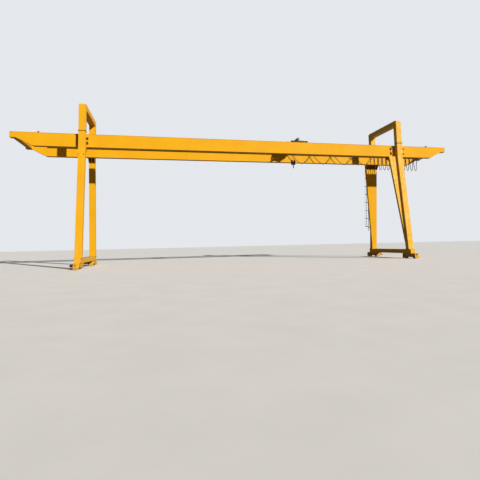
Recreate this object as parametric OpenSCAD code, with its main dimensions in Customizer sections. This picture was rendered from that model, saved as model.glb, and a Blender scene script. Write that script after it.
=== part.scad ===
// Rail-mounted double-girder gantry crane: a pair of box girders with a cantilever at each end,
// flexible legs on the left, rigid tapered legs on the right, a portal saddle over each leg pair,
// sills on two-wheel bogies, a hoist trolley on top with its hook block, a ladder and a festoon.
// X runs along the girders, Y across them, Z up. The origin lies on the floor, in the middle.

/* [Main frame] */
// Distance between the centres of the left and the right legs
span = 28180; // [26000:10:30000]
// Length of the main girders, tip to tip
girder_len = 38800; // [36000:10:39600]
// Height of the girders' top flange above the floor
girder_top_z = 10656; // [10200:2:11600]
// Depth of a girder, flanges included
girder_depth = 1056; // [900:2:1200]
// Width of a girder over its webs
girder_w = 390; // [340:2:420]
// Distance of a girder's middle from the crane's middle
girder_c = 1740; // [1700:2:1900]
// Thickness of a girder's flanges
flange_t = 16; // [10:1:30]
// Overhang of a flange past the web
flange_over = 18; // [10:1:22]
// Depth of a girder at its tips
tip_depth = 440; // [380:2:560]
// Length of the level stretch at a tip
tip_len = 450; // [300:10:600]
// Length of the tapered stretch before a tip
taper_len = 1200; // [900:10:1500]

/* [Legs] */
// Width of a column along the girders
column_w = 520; // [440:2:600]
// Depth of a column across the girders
column_d = 415; // [340:1:460]
// Thickness of the pads between the girder webs and the columns
pad_t = 24; // [23:1:40]
// Height where a column bends from leaning to upright
kink_z = 9500; // [9200:10:9560]
// How far a column's foot stands out from its head
leg_spread = 786; // [500:2:1000]
// Height of the bolted joint between a column and its saddle
joint_z = 10826; // [10780:2:11900]
// Thickness of the bolted flanges
joint_t = 20; // [12:1:30]
// Overhang of the bolted flanges
joint_over = 34; // [20:1:60]
// Width of a rigid leg's tapered box at its head, beside the column
wing_top_w = 760; // [400:10:900]
// Depth of a rigid leg's tapered box
wing_d = 210; // [150:2:300]
// Height where the tapered box starts beside the column
wing_low_z = 1500; // [1200:10:3000]
// Height of the girder seats between the leg and the girder
seat_h = 450; // [300:10:600]
// Width of a girder seat on the flexible legs
seat_w = 520; // [400:10:600]
// Thickness of the seats' plates
seat_t = 24; // [16:1:30]

/* [Saddles] */
// Height of a saddle's top above the floor
saddle_top_z = 13030; // [12800:10:13600]
// Depth of a saddle's cross beam
saddle_d = 440; // [380:2:520]
// Radius of a saddle's outer corners
saddle_r = 150; // [60:5:200]
// Radius of a saddle's inner corners
saddle_ri = 110; // [60:5:200]

/* [Sills and bogies] */
// Height of a sill's top, where the legs land
sill_top_z = 820; // [780:2:900]
// Depth of a sill
sill_d = 370; // [300:2:400]
// Width of a sill
sill_w = 420; // [380:2:460]
// Length of a sill
sill_len = 6700; // [6400:10:7000]
// Distance of a bogie's middle from the crane's middle
bogie_c = 3000; // [2900:10:3100]
// Length of a bogie frame
bogie_len = 1700; // [1600:10:1800]
// Width of a bogie frame
bogie_w = 300; // [280:2:360]
// Thickness of a bogie's plates
bogie_t = 18; // [12:1:24]
// Height of the bogie side plates' lower edge above the floor
bogie_z = 120; // [100:2:150]
// Distance between a bogie's axles
wheelbase = 1050; // [900:10:1100]
// Tread diameter of a crane wheel
wheel_d = 350; // [320:10:370]
// Width of a crane wheel over its flanges
wheel_w = 130; // [100:2:160]
// How far a wheel's flanges stand out past its tread
wheel_flange = 25; // [15:1:30]
// Diameter of a wheel's axle
axle_d = 80; // [60:2:100]

/* [Trolley] */
// Place of the trolley along the girders
trolley_x = 4280; // [-5000:10:10000]
// Wheelbase of the trolley
trolley_base = 1260; // [1240:10:1400]
// Length of the trolley's end carriages
carriage_len = 1600; // [1550:10:1800]
// Width of an end carriage
carriage_w = 150; // [140:2:180]
// Depth of an end carriage
carriage_d = 100; // [90:2:140]
// Tread diameter of a trolley wheel
trolley_wheel_d = 160; // [140:5:180]
// How far a trolley wheel's flanges stand out past its tread
trolley_flange = 12; // [8:1:14]
// Height of the trolley rails
rail_h = 40; // [36:2:60]
// Width of the trolley rails
rail_w = 60; // [50:1:64]
// Distance of the rail end stops from the crane's middle
stop_x = 17450; // [17000:10:17600]
// Distance between the trolley's cross beams
cross_gap = 680; // [640:10:760]
// Width of a cross beam
cross_w = 120; // [100:2:160]
// Diameter of the rope drum over its grooves
drum_d = 360; // [320:5:400]
// Length of the rope drum between its flanges
drum_len = 1040; // [980:10:1100]
// How far the drum's end flanges stand out
drum_flange = 30; // [20:1:40]
// Distance between the rope's turns on the drum
turn_pitch = 20; // [19:1:26]
// Height of the deck plate above the cross beams
deck_t = 8; // [6:1:12]

/* [Hook block] */
// Height of the hook block's cross head above the floor
hook_z = 9060; // [8900:10:9400]
// Diameter of the block's sheaves
sheave_d = 360; // [300:5:400]
// Diameter of the equalising sheave
equal_d = 240; // [200:5:280]
// Diameter of the hoist ropes
rope_d = 16; // [14:1:18]
// Mean radius of the hook's bowl
hook_r = 100; // [90:1:120]
// Width of the hook at the bottom of its bowl
hook_t = 84; // [60:2:90]
// Diameter of the hook's shank
shank_d = 64; // [50:1:80]

/* [Ladder and festoon] */
// Width of the ladder between its stiles
ladder_w = 420; // [380:10:460]
// Distance between rungs
rung_pitch = 290; // [250:5:320]
// Height of the lowest cage hoop above the floor
cage_low_z = 3100; // [2400:50:3600]
// Distance between cage hoops
hoop_pitch = 870; // [600:10:950]
// Width of the ladder cage
cage_w = 680; // [620:10:720]
// Distance of the festoon from the crane's middle
festoon_y = 1200; // [1150:5:1300]
// Length of cable in one festoon loop
loop_len = 3150; // [2600:10:3200]
// Distance between carriers in the bunched part of the festoon
bunch_pitch = 460; // [400:10:480]
// Number of bunched loops
bunched = 11; // [6:1:11]

/* [Hidden] */
$fn = 48;

paint = "#f2a71b";
dark = "#33342f";
steel = "#6f6e6a";
white = "#dcdcd6";
cable = "#20242b";
joining = 1;
// Fit between leaning faces that lie on each other
fit_gap = 0.3;

post_x = span / 2;
girder_bot_z = girder_top_z - girder_depth;
web_in = girder_c - girder_w / 2;
web_out = girder_c + girder_w / 2;
taper_end_x = girder_len / 2 - tip_len;
taper_start_x = taper_end_x - taper_len;
tip_bot_z = girder_top_z - tip_depth;
rail_top_z = girder_top_z + rail_h;
face_in = web_out + pad_t;
face_out = face_in + column_d;
base_z = sill_top_z + joint_t;
foot_z = base_z + joint_t;
column_top_z = joint_z - joint_t;
wing_top_z = girder_bot_z - 20;
wing_outer_x = post_x - column_w / 2;
lean = atan(leg_spread / (kink_z - base_z));
sill_bot_z = sill_top_z - sill_d;
wheel_z = wheel_d / 2 + wheel_flange;
trolley_wheel_z = rail_top_z + trolley_wheel_d / 2;
carriage_z = rail_top_z + 20;
carriage_top_z = carriage_z + carriage_d;
beam_low_z = girder_top_z + 14;
deck_z = carriage_top_z + deck_t;
drum_out_r = drum_d / 2 + drum_flange;
drum_z = carriage_top_z + drum_out_r + 15;
sheave_z = hook_z + 230;
// Grooves of the sheaves, and where the ropes lie in them
groove_half = 22;
groove_depth = 18;
seat = (rope_d / 2 + fit_gap) * norm([groove_half, groove_depth]) / groove_half - groove_depth;
fall_y = sheave_d / 2 + seat;
fall_x = equal_d / 2 + seat;
turn_depth = 5;
drum_side_y = drum_d / 2 - turn_depth + rope_d / 2 + 1;

// Place of a column's inner face at a height
function face_at(z) = face_in + (z < kink_z ? leg_spread * (kink_z - z) / (kink_z - base_z) : 0);

// A flat outline drawn in X and Z, given a thickness from y to y + t
module slab_xz(y, t) {
    translate([0, y + t, 0]) rotate([90, 0, 0]) linear_extrude(t) children();
}

// A flat outline drawn in Y and Z, given a thickness from x to x + t
module slab_yz(x, t) {
    translate([x, 0, 0]) rotate([90, 0, 90]) linear_extrude(t) children();
}

// A box between two corners
module block(low, high) {
    translate(low) cube(high - low);
}

// A piece drawn on the far side, brought to the near side where side is -1
module to_side(side) {
    mirror([0, side < 0 ? 1 : 0, 0]) children();
}

// The lower edge of a girder from left to right, raised by up
function girder_edge(up) = [
    [-girder_len / 2, tip_bot_z + up], [-taper_end_x, tip_bot_z + up],
    [-taper_start_x, girder_bot_z + up], [taper_start_x, girder_bot_z + up],
    [taper_end_x, tip_bot_z + up], [girder_len / 2, tip_bot_z + up]];

function reversed(list) = [for (i = [len(list) - 1 : -1 : 0]) list[i]];

module girder() {
    flange_w = girder_w + 2 * flange_over;
    color(paint) union() {
        slab_xz(web_in, girder_w) polygon(concat(girder_edge(0),
            [[girder_len / 2, girder_top_z], [-girder_len / 2, girder_top_z]]));
        slab_xz(girder_c - flange_w / 2, flange_w)
            polygon(concat(girder_edge(0), reversed(girder_edge(flange_t))));
        block([-girder_len / 2, girder_c - flange_w / 2, girder_top_z - flange_t],
            [girder_len / 2, girder_c + flange_w / 2, girder_top_z]);
    }
}

module girder_near() { to_side(-1) girder(); }
module girder_far() { girder(); }

// Box tie between the girder tips
tie_w = 400;
tie_gap = 30;
module end_tie(side) {
    x = side * (girder_len / 2 - tip_len + tie_w / 2 - 60);
    color(paint) block([x - tie_w / 2, -web_in, tip_bot_z + tie_gap],
        [x + tie_w / 2, web_in, girder_top_z - tie_gap]);
}

module end_tie_left() { end_tie(-1); }
module end_tie_right() { end_tie(1); }

// Bar rail on each girder, its upper edges eased
rail_ease = 6;
module rail() {
    color(steel) translate([-stop_x, girder_c, girder_top_z]) rotate([90, 0, 90])
        linear_extrude(2 * stop_x) polygon([[-rail_w / 2, 0], [rail_w / 2, 0],
            [rail_w / 2, rail_h - rail_ease], [rail_w / 2 - rail_ease, rail_h],
            [rail_ease - rail_w / 2, rail_h], [-rail_w / 2, rail_h - rail_ease]]);
}

module trolley_rails() { for (side = [-1, 1]) to_side(side) rail(); }

// Upright plate and rubber buffer at each rail end, which the end carriages meet
stop_t = 30;
buffer_len = 90;
buffer_d = 80;
buffer_z = carriage_z + carriage_d / 2;
stop_w = 160;
stop_brace = 260;
module rail_stop() {
    color(paint) union() {
        block([stop_x, girder_c - stop_w / 2, girder_top_z],
            [stop_x + stop_t, girder_c + stop_w / 2, buffer_z + buffer_d / 2]);
        slab_xz(girder_c - stop_t / 2, stop_t) polygon([[stop_x + stop_t - joining, girder_top_z],
            [stop_x + stop_brace, girder_top_z], [stop_x + stop_t - joining, buffer_z]]);
        translate([stop_x - buffer_len, girder_c, buffer_z]) rotate([0, 90, 0])
            cylinder(d = buffer_d, h = buffer_len + joining);
    }
}

module rail_stops() {
    for (side = [-1, 1]) to_side(side) for (end = [0, 1]) mirror([end, 0, 0]) rail_stop();
}

// Column: leaning box up to the kink, upright beside the girder, flanged at both ends
module column(x_side) {
    x = x_side * post_x;
    color(paint) union() {
        slab_yz(x - column_w / 2, column_w) polygon([
            [face_at(foot_z), foot_z], [face_at(kink_z), kink_z], [face_in, column_top_z],
            [face_out, column_top_z], [face_out, kink_z], [face_at(foot_z) + column_d, foot_z]]);
        block([x - column_w / 2 - joint_over, face_at(base_z) - joint_over, base_z],
            [x + column_w / 2 + joint_over, face_at(base_z) + column_d + joint_over, foot_z]);
        block([x - column_w / 2 - joint_over, face_in, column_top_z],
            [x + column_w / 2 + joint_over, face_out + joint_over, joint_z]);
        for (out = [-1, 1]) foot_ribs(x + out * column_w / 2, out);
        if (x_side < 0) for (dx = [-1, 1]) lifting_lug(x + dx * lug_dx);
    }
}

// Lug with a shackle hole on a flexible column's outer face
lug_dx = 190;
lug_z = 8930;
lug_h = 150;
lug_out = 90;
lug_t = 20;
lug_toe = 20;
lug_eye_d = 40;
lug_eye_in = 40;
module lifting_lug(x) {
    face = face_at(lug_z) + column_d;
    slab_yz(x - lug_t / 2, lug_t) difference() {
        polygon([[face - lug_out, lug_z - lug_h / 2], [face + lug_toe, lug_z - lug_h / 2],
            [face + lug_out, lug_z], [face + lug_out, lug_z + lug_h / 2],
            [face - lug_out, lug_z + lug_h / 2]]);
        translate([face + lug_out - lug_eye_in, lug_z + lug_h / 2 - lug_eye_in]) circle(d = lug_eye_d);
    }
}

// Ribs that stiffen a column's foot plate
foot_rib_h = 160;
foot_rib_t = 14;
foot_rib_in = 60;
module foot_ribs(x, out) {
    for (y = [face_at(foot_z) + foot_rib_in, face_at(foot_z) + column_d - foot_rib_in - foot_rib_t])
        slab_xz(y, foot_rib_t) polygon([[x - out * joining, foot_z - joining],
            [x + out * joint_over, foot_z - joining], [x - out * joining, foot_z + foot_rib_h]]);
}

module column_near_left() { to_side(-1) column(-1); }
module column_far_left() { column(-1); }
module column_near_right() { to_side(-1) column(1); }
module column_far_right() { column(1); }

// Rigid leg's tapered box: stands beside the column, flush with its inner face, and widens upwards
wing_foot_w = 20;
module leg_box() {
    color(paint) intersection() {
        slab_xz(0, 2 * face_at(0)) polygon([[wing_outer_x - wing_foot_w, wing_low_z],
            [wing_outer_x, wing_low_z], [wing_outer_x, wing_top_z],
            [wing_outer_x - wing_top_w, wing_top_z]]);
        slab_yz(0, 2 * post_x) polygon([
            [face_at(wing_low_z), wing_low_z], [face_at(wing_low_z) + wing_d, wing_low_z],
            [face_in + wing_d, kink_z], [face_in + wing_d, wing_top_z],
            [face_in, wing_top_z], [face_in, kink_z]]);
    }
}

module leg_box_near() { to_side(-1) leg_box(); }
module leg_box_far() { leg_box(); }

// Saddle: portal over both girders, bolted to the columns' heads
module saddle(x_side) {
    x = x_side * post_x;
    low = joint_z + joint_t;
    beam_z = saddle_top_z - saddle_d;
    color(paint) union() {
        slab_yz(x - column_w / 2, column_w) difference() {
            union() {
                translate([-face_out, low]) square([2 * face_out, saddle_top_z - saddle_r - low]);
                for (s = [-1, 1]) translate([s * (face_out - saddle_r), saddle_top_z - saddle_r])
                    circle(r = saddle_r);
                translate([saddle_r - face_out, low])
                    square([2 * (face_out - saddle_r), saddle_top_z - low]);
            }
            translate([-face_in, low - joining])
                square([2 * face_in, beam_z - saddle_ri - low + joining]);
            translate([saddle_ri - face_in, low]) square([2 * (face_in - saddle_ri), beam_z - low]);
            for (s = [-1, 1]) translate([s * (face_in - saddle_ri), beam_z - saddle_ri])
                circle(r = saddle_ri);
        }
        for (s = [-1, 1]) to_side(s)
            block([x - column_w / 2 - joint_over, face_in, joint_z],
                [x + column_w / 2 + joint_over, face_out + joint_over, low]);
    }
}

module saddle_left() { saddle(-1); }
module saddle_right() { saddle(1); }

// Seat under a girder: a bearing plate on upright gussets that stand out from the leg's inner face
seat_in = web_in + 15;
corbel_foot = 40;
corbel_lip = 60;
module corbel(low_x, high_x, gussets) {
    plate_z = girder_bot_z - seat_t;
    low_z = girder_bot_z - seat_h;
    pitch = (high_x - low_x - seat_t) / (gussets - 1);
    color(paint) union() {
        block([low_x, seat_in, plate_z], [high_x, face_in, girder_bot_z]);
        for (i = [0 : gussets - 1])
            slab_yz(low_x + i * pitch, seat_t) polygon([[seat_in, plate_z + joining],
                [face_in, plate_z + joining], [face_in, kink_z], [face_in - fit_gap, kink_z],
                [face_at(low_z) - fit_gap, low_z], [face_at(low_z) - corbel_foot, low_z],
                [seat_in, plate_z - corbel_lip]]);
    }
}

module seats_left() {
    for (side = [-1, 1]) to_side(side) corbel(-post_x - seat_w / 2, -post_x + seat_w / 2, 3);
}
module seats_right() {
    for (side = [-1, 1]) to_side(side)
        corbel(wing_outer_x - wing_top_w, wing_outer_x + column_w, 6);
}

// Pad plates between the girder webs and the columns
pad_low = 190;
pad_high = 180;
module pad(x, w) {
    color(paint) block([x - w / 2, web_out, girder_bot_z + pad_low],
        [x + w / 2, face_in, girder_top_z - pad_high]);
}

pad_w_left = 700;
pad_w_right = 1380;
module pads_left() { for (side = [-1, 1]) to_side(side) pad(-post_x, pad_w_left); }
module pads_right() { for (side = [-1, 1]) to_side(side) pad(post_x, pad_w_right); }

// Sill: box beam along the track with a landing plate under each leg
module sill(x_side) {
    x = x_side * post_x;
    color(paint) union() {
        block([x - sill_w / 2, -sill_len / 2, sill_bot_z], [x + sill_w / 2, sill_len / 2, sill_top_z]);
        for (side = [-1, 1]) to_side(side)
            block([x - column_w / 2 - joint_over, face_at(base_z) - joint_over, sill_top_z - joining],
                [x + column_w / 2 + joint_over, face_at(base_z) + column_d + joint_over, base_z]);
    }
}

module sill_left() { sill(-1); }
module sill_right() { sill(1); }

// Bogie frame: an upturned channel with axle bearings on its sides and a buffer at its outer end
bearing_d = 160;
bearing_t = 40;
module bogie(x_side) {
    x = x_side * post_x;
    low = bogie_c - bogie_len / 2;
    high = bogie_c + bogie_len / 2;
    color(paint) union() {
        block([x - bogie_w / 2, low, sill_bot_z - bogie_t], [x + bogie_w / 2, high, sill_bot_z]);
        for (s = [-1, 1]) {
            slab_yz(x + s * (bogie_w - bogie_t) / 2 - bogie_t / 2, bogie_t) polygon([
                [low, sill_bot_z - 120], [low + 160, bogie_z], [high - 160, bogie_z],
                [high, sill_bot_z - 120], [high, sill_bot_z - joining], [low, sill_bot_z - joining]]);
            for (w = [-1, 1])
                translate([x + s * (bogie_w / 2 + bearing_t / 2 - joining / 2),
                    bogie_c + w * wheelbase / 2, wheel_z]) rotate([0, 90, 0])
                    cylinder(d = bearing_d, h = bearing_t + joining, center = true);
        }
        for (y = [low, high - bogie_t])
            block([x - bogie_w / 2, y, sill_bot_z - 120], [x + bogie_w / 2, y + bogie_t, sill_bot_z]);
        translate([x, high - joining, sill_bot_z - 70]) rotate([-90, 0, 0])
            cylinder(d = 90, h = 110);
    }
}

module bogie_near_left() { to_side(-1) bogie(-1); }
module bogie_far_left() { bogie(-1); }
module bogie_near_right() { to_side(-1) bogie(1); }
module bogie_far_right() { bogie(1); }

// Double-flanged crane wheel with its axle, seated between the bogie's side plates
module crane_wheel(x, y) {
    inner = bogie_w - 2 * bogie_t;
    color(steel) translate([x, y, wheel_z]) rotate([0, 90, 0]) rotate_extrude() polygon([
        [0, -inner / 2], [axle_d / 2, -inner / 2], [axle_d / 2, -wheel_w / 2 - 15], [90, -wheel_w / 2 - 15],
        [90, -wheel_w / 2 + 20], [wheel_d / 2 - 40, -wheel_w / 2 + 20], [wheel_d / 2 - 40, -wheel_w / 2],
        [wheel_z, -wheel_w / 2], [wheel_z, -wheel_w / 2 + 18], [wheel_d / 2, -wheel_w / 2 + 24],
        [wheel_d / 2, wheel_w / 2 - 24], [wheel_z, wheel_w / 2 - 18], [wheel_z, wheel_w / 2],
        [wheel_d / 2 - 40, wheel_w / 2], [wheel_d / 2 - 40, wheel_w / 2 - 20], [90, wheel_w / 2 - 20],
        [90, wheel_w / 2 + 15], [axle_d / 2, wheel_w / 2 + 15], [axle_d / 2, inner / 2], [0, inner / 2]]);
}

module wheels(x_side) {
    for (side = [-1, 1], w = [-1, 1])
        crane_wheel(x_side * post_x, side * (bogie_c + w * wheelbase / 2));
}

module wheels_left() { wheels(-1); }
module wheels_right() { wheels(1); }

// Electric motor along Z: a finned stator, a flange at its foot and a fan cowl at its end
module motor(d, len) {
    cowl = 0.24 * len;
    fins = 20;
    fin_h = 0.07 * d;
    cylinder(d = d, h = 0.06 * len);
    cylinder(d = d - 2 * fin_h, h = len - cowl / 2);
    translate([0, 0, 0.12 * len]) linear_extrude(len - cowl - 0.2 * len)
        for (i = [0 : fins - 1]) rotate(360 * i / fins)
            translate([d / 2 - 1.6 * fin_h, -0.012 * d]) square([1.6 * fin_h, 0.024 * d]);
    translate([0, 0, len - cowl]) cylinder(d = d, h = cowl);
}

// Geared motor on the outer face of each bogie, over its inner axle
drive_len = 520;
drive_d = 190;
drive_case_t = 130;
module travel_drive(x_side) {
    x0 = post_x + bogie_w / 2 + bearing_t;
    y = bogie_c - wheelbase / 2;
    motor_z = wheel_z + 50;
    color(steel) mirror([x_side < 0 ? 1 : 0, 0, 0]) translate([x0, y, 0]) union() {
        slab_yz(0, drive_case_t) hull() {
            translate([0, wheel_z]) circle(d = 190);
            translate([0, motor_z + 40]) circle(d = 170);
        }
        translate([drive_case_t - joining, 0, motor_z]) rotate([0, 90, 0])
            motor(drive_d, drive_len - drive_case_t);
    }
}

module travel_drives() {
    for (x_side = [-1, 1], side = [-1, 1]) to_side(side) travel_drive(x_side);
}

// The leaning frame of the far rigid leg's column: z runs up its slope, y out of its outer face
ladder_dx = 140;
ladder_off = 180;
module in_lean() {
    translate([post_x - ladder_dx, face_at(base_z), base_z]) rotate([lean, 0, 0])
        translate([0, column_d * cos(lean), 0]) children();
}

stile_w = 60;
stile_t = 14;
ladder_low_z = 2700;
ladder_low = (ladder_low_z - base_z) / cos(lean);
ladder_len = (girder_top_z - base_z) / cos(lean) - 40;
rung_d = 24;
rung_inset = 60;
bracket_bar_t = 12;
bracket_bar_w = 40;
bracket_up = 300;
bracket_first = ladder_low + bracket_up;
bracket_last = (kink_z - base_z) / cos(lean) - 100;
bracket_count = 4;
module ladder() {
    bar_y = ladder_off - stile_w / 2 - bracket_bar_t + joining;
    half = ladder_w / 2 + stile_t;
    color(steel) in_lean() union() {
        for (s = [-1, 1]) translate([s * (ladder_w + stile_t) / 2, ladder_off, 0])
            block([-stile_t / 2, -stile_w / 2, ladder_low], [stile_t / 2, stile_w / 2, ladder_len]);
        for (z = [ladder_low + rung_inset : rung_pitch : ladder_len - rung_inset])
            translate([-ladder_w / 2 - joining, ladder_off, z]) rotate([0, 90, 0])
                cylinder(d = rung_d, h = ladder_w + 2 * joining, $fn = 16);
        for (i = [0 : bracket_count - 1])
            translate([0, 0, bracket_first + i * (bracket_last - bracket_first) / (bracket_count - 1)]) {
                block([-half, bar_y, 0], [half, bar_y + bracket_bar_t, bracket_bar_w]);
                for (x = [ladder_dx - column_w / 2 + bracket_bar_w, half - bracket_bar_t])
                    block([x, fit_gap, 0], [x + bracket_bar_t, bar_y + joining, bracket_bar_w]);
            }
    }
}

// Hoops and upright straps that guard the ladder
cage_depth = 700;
strap_w = 40;
strap_t = 8;
hoop_count = floor((girder_bot_z - 250 - cage_low_z) / hoop_pitch) + 1;
module ladder_cage() {
    r = cage_w / 2;
    low = (cage_low_z - base_z) / cos(lean);
    y0 = ladder_off + stile_w / 2;
    depth = cage_depth;
    color(steel) in_lean() union() {
        for (i = [0 : hoop_count - 1]) translate([0, y0, low + i * hoop_pitch]) {
            translate([0, depth - r, 0]) rotate_extrude(angle = 180)
                translate([r - strap_t, 0]) square([strap_t, strap_w]);
            for (s = [-1, 1]) translate([s * (r - strap_t / 2) - strap_t / 2, 0, 0])
                cube([strap_t, depth - r + joining, strap_w]);
            for (s = [-1, 1]) translate([s > 0 ? ladder_w / 2 : -r, 0, 0])
                cube([r - ladder_w / 2, strap_t, strap_w]);
        }
        for (a = [20, 90, 160]) translate([0, y0 + depth - r, low]) rotate([0, 0, a])
            translate([r - 2 * strap_t + joining, -strap_w / 2, 0])
                cube([strap_t, strap_w, (hoop_count - 1) * hoop_pitch + strap_w]);
    }
}

// Festoon: a slotted track on brackets along the far girder, carriers in it, flat cable between them
track_h = 60;
track_w = 50;
track_t = 5;
track_slot = 18;
track_z = girder_top_z - 150;
bracket_pitch = 2080;
bracket_inset = 300;
bracket_w = 50;
track_left_x = -stop_x;
track_right_x = girder_len / 2 - tip_len - 100;
first_x = trolley_x + 225;
carrier_z = track_z - 60;
carrier_w = 44;
carrier_len = 70;
roller_d = 30;
bunch_x = track_right_x - 190 - bunched * bunch_pitch;
open_loops = 4;
open_pitch = (bunch_x - first_x) / open_loops;
carrier_xs = concat([for (i = [0 : open_loops - 1]) first_x + i * open_pitch],
    [for (i = [0 : bunched]) bunch_x + i * bunch_pitch]);

module festoon_track() {
    color(steel) union() {
        translate([track_left_x, festoon_y, track_z]) rotate([90, 0, 90])
            linear_extrude(track_right_x - track_left_x) difference() {
                translate([-track_w / 2, 0]) square([track_w, track_h]);
                translate([track_t - track_w / 2, track_t])
                    square([track_w - 2 * track_t, track_h - 2 * track_t]);
                translate([-track_slot / 2, -joining]) square([track_slot, track_t + 2 * joining]);
            }
        for (x = [track_left_x + bracket_inset : bracket_pitch : track_right_x - bracket_inset])
            translate([x, 0, 0]) slab_yz(0, bracket_w) polygon([
                [festoon_y - track_w / 2, track_z + track_h - joining],
                [web_in, track_z + track_h - joining],
                [web_in, track_z + track_h + 70], [web_in - 12, track_z + track_h + 70],
                [web_in - 60, track_z + track_h + 12], [festoon_y - track_w / 2, track_z + track_h + 12]]);
    }
}

// Carrier: two rollers on the track's lips, a stem through its slot and the clamp for the cable
module festoon_carrier() {
    roller_z = track_z + track_t + fit_gap + roller_d / 2;
    for (s = [-1, 1]) translate([s * 20, 0, roller_z]) rotate([90, 0, 0])
        cylinder(d = roller_d, h = track_w - 2 * track_t - 4, center = true);
    block([-carrier_len / 2, -4, carrier_z + joining], [carrier_len / 2, 4, roller_z]);
    block([-carrier_len / 2, -carrier_w / 2, carrier_z], [carrier_len / 2, carrier_w / 2, carrier_z + 26]);
}

module festoon_carriers() {
    color(dark) for (x = carrier_xs) translate([x, festoon_y, 0]) festoon_carrier();
}

// Height of the cable at u, from -1 to 1 across a loop of the given pitch
function loop_depth(pitch) = sqrt(pow(loop_len / 2, 2) - pow(pitch / 2, 2)) * 0.95;
function loop_power(pitch) = 1.25 + 1.6 * bunch_pitch / pitch;
function loop_z(u, pitch) = carrier_z - stub_len
    - (loop_depth(pitch) - stub_len) * (1 - pow(abs(u), loop_power(pitch)));
loop_steps = 24;
stub_len = 40;
cable_t = 16;
cable_w = 40;

function loop_points(x, pitch) = concat([[x, carrier_z - fit_gap]],
    [for (i = [0 : loop_steps]) let(u = -cos(180 * i / loop_steps))
        [x + pitch * (1 + u) / 2, loop_z(u, pitch)]],
    [[x + pitch, carrier_z - fit_gap]]);
function normal_at(p, i) = let(a = p[max(i - 1, 0)], b = p[min(i + 1, len(p) - 1)], d = b - a)
    [-d[1], d[0]] / norm(d);
function side_line(p, off) = [for (i = [0 : len(p) - 1]) p[i] + off * normal_at(p, i)];

module festoon_cable() {
    color(cable) for (i = [0 : len(carrier_xs) - 2]) {
        inset = cable_t / 2 + 2;
        pitch = carrier_xs[i + 1] - carrier_xs[i] - 2 * inset;
        p = loop_points(carrier_xs[i] + inset, pitch);
        slab_xz(festoon_y - cable_w / 2, cable_w)
            polygon(concat(side_line(p, -cable_t / 2), reversed(side_line(p, cable_t / 2))));
    }
}

// Trolley: end carriages, each slotted for its two wheels
wheel_slot = 100;
wheel_room = 14;
boss_in = 13;
boss_out = 12;
module carriage() {
    slot = trolley_wheel_d + 2 * (trolley_flange + wheel_room);
    color(dark) translate([trolley_x, girder_c, 0]) difference() {
        union() {
            block([-carriage_len / 2, -carriage_w / 2, carriage_z],
                [carriage_len / 2, carriage_w / 2, carriage_top_z]);
            for (w = [-1, 1]) translate([w * trolley_base / 2, 0, trolley_wheel_z])
                rotate([90, 0, 0])
                    cylinder(d = carriage_d - 2 * boss_in, h = carriage_w + 2 * boss_out, center = true);
        }
        for (w = [-1, 1]) translate([w * trolley_base / 2, 0, carriage_z])
            block([-slot / 2, -wheel_slot / 2, -carriage_d], [slot / 2, wheel_slot / 2, 2 * carriage_d]);
    }
}

module trolley_carriages() { for (side = [-1, 1]) to_side(side) carriage(); }

// Double-flanged trolley wheel with its hub
wheel_side_gap = 5;
module trolley_wheel() {
    r = trolley_wheel_d / 2;
    half = wheel_slot / 2 - wheel_side_gap;
    tread = rail_w / 2 + 4;
    rotate([90, 0, 0]) rotate_extrude() polygon([[0, -wheel_slot / 2], [40, -wheel_slot / 2], [40, -half],
        [r + trolley_flange, -half], [r + trolley_flange, -half + 6], [r, -tread], [r, tread],
        [r + trolley_flange, half - 6], [r + trolley_flange, half], [40, half], [40, wheel_slot / 2],
        [0, wheel_slot / 2]]);
}

module trolley_wheels() {
    color(steel) for (side = [-1, 1], w = [-1, 1])
        translate([trolley_x + w * trolley_base / 2, side * girder_c, trolley_wheel_z]) trolley_wheel();
}

// Cross beams between the end carriages, with the deck plate along the near carriage
deck_in = 1280;
deck_left = 700;
deck_right = 720;
carriage_in = girder_c - carriage_w / 2;
module trolley_cross_beams() {
    color(dark) translate([trolley_x, 0, 0]) union() {
        for (s = [-1, 1]) translate([s * (cross_gap + cross_w) / 2, 0, 0])
            block([-cross_w / 2, -carriage_in, beam_low_z], [cross_w / 2, carriage_in, carriage_top_z]);
        block([-deck_left, -carriage_in, carriage_top_z - joining], [deck_right, -deck_in, deck_z]);
    }
}

// Drum frame: an end plate at each end of the drum on two bars that lie across the beams
bracket_t = 25;
bracket_x = drum_len / 2 + 30 + bracket_t;
bar_y = 285;
bar_w = 70;
bar_h = 60;
journal_d = 120;
journal_fit = 0.3;
module drum_brackets() {
    color(dark) translate([trolley_x, 0, 0]) union() {
        for (s = [-1, 1]) difference() {
            slab_yz(s * (bracket_x - bracket_t / 2) - bracket_t / 2, bracket_t) union() {
                translate([0, drum_z]) circle(r = journal_d);
                polygon([[-bar_y, carriage_top_z], [bar_y, carriage_top_z], [bar_y, carriage_top_z + bar_h],
                    [journal_d * 0.8, drum_z + journal_d * 0.6],
                    [-journal_d * 0.8, drum_z + journal_d * 0.6],
                    [-bar_y, carriage_top_z + bar_h]]);
            }
            translate([0, 0, drum_z]) rotate([0, 90, 0])
                cylinder(d = journal_d + 2 * journal_fit, h = 2 * bracket_x + 2, center = true);
        }
        for (s = [-1, 1]) block([-bracket_x, s * (bar_y - bar_w / 2) - bar_w / 2, carriage_top_z],
            [bracket_x, s * (bar_y - bar_w / 2) + bar_w / 2, carriage_top_z + bar_h]);
    }
}

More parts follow.
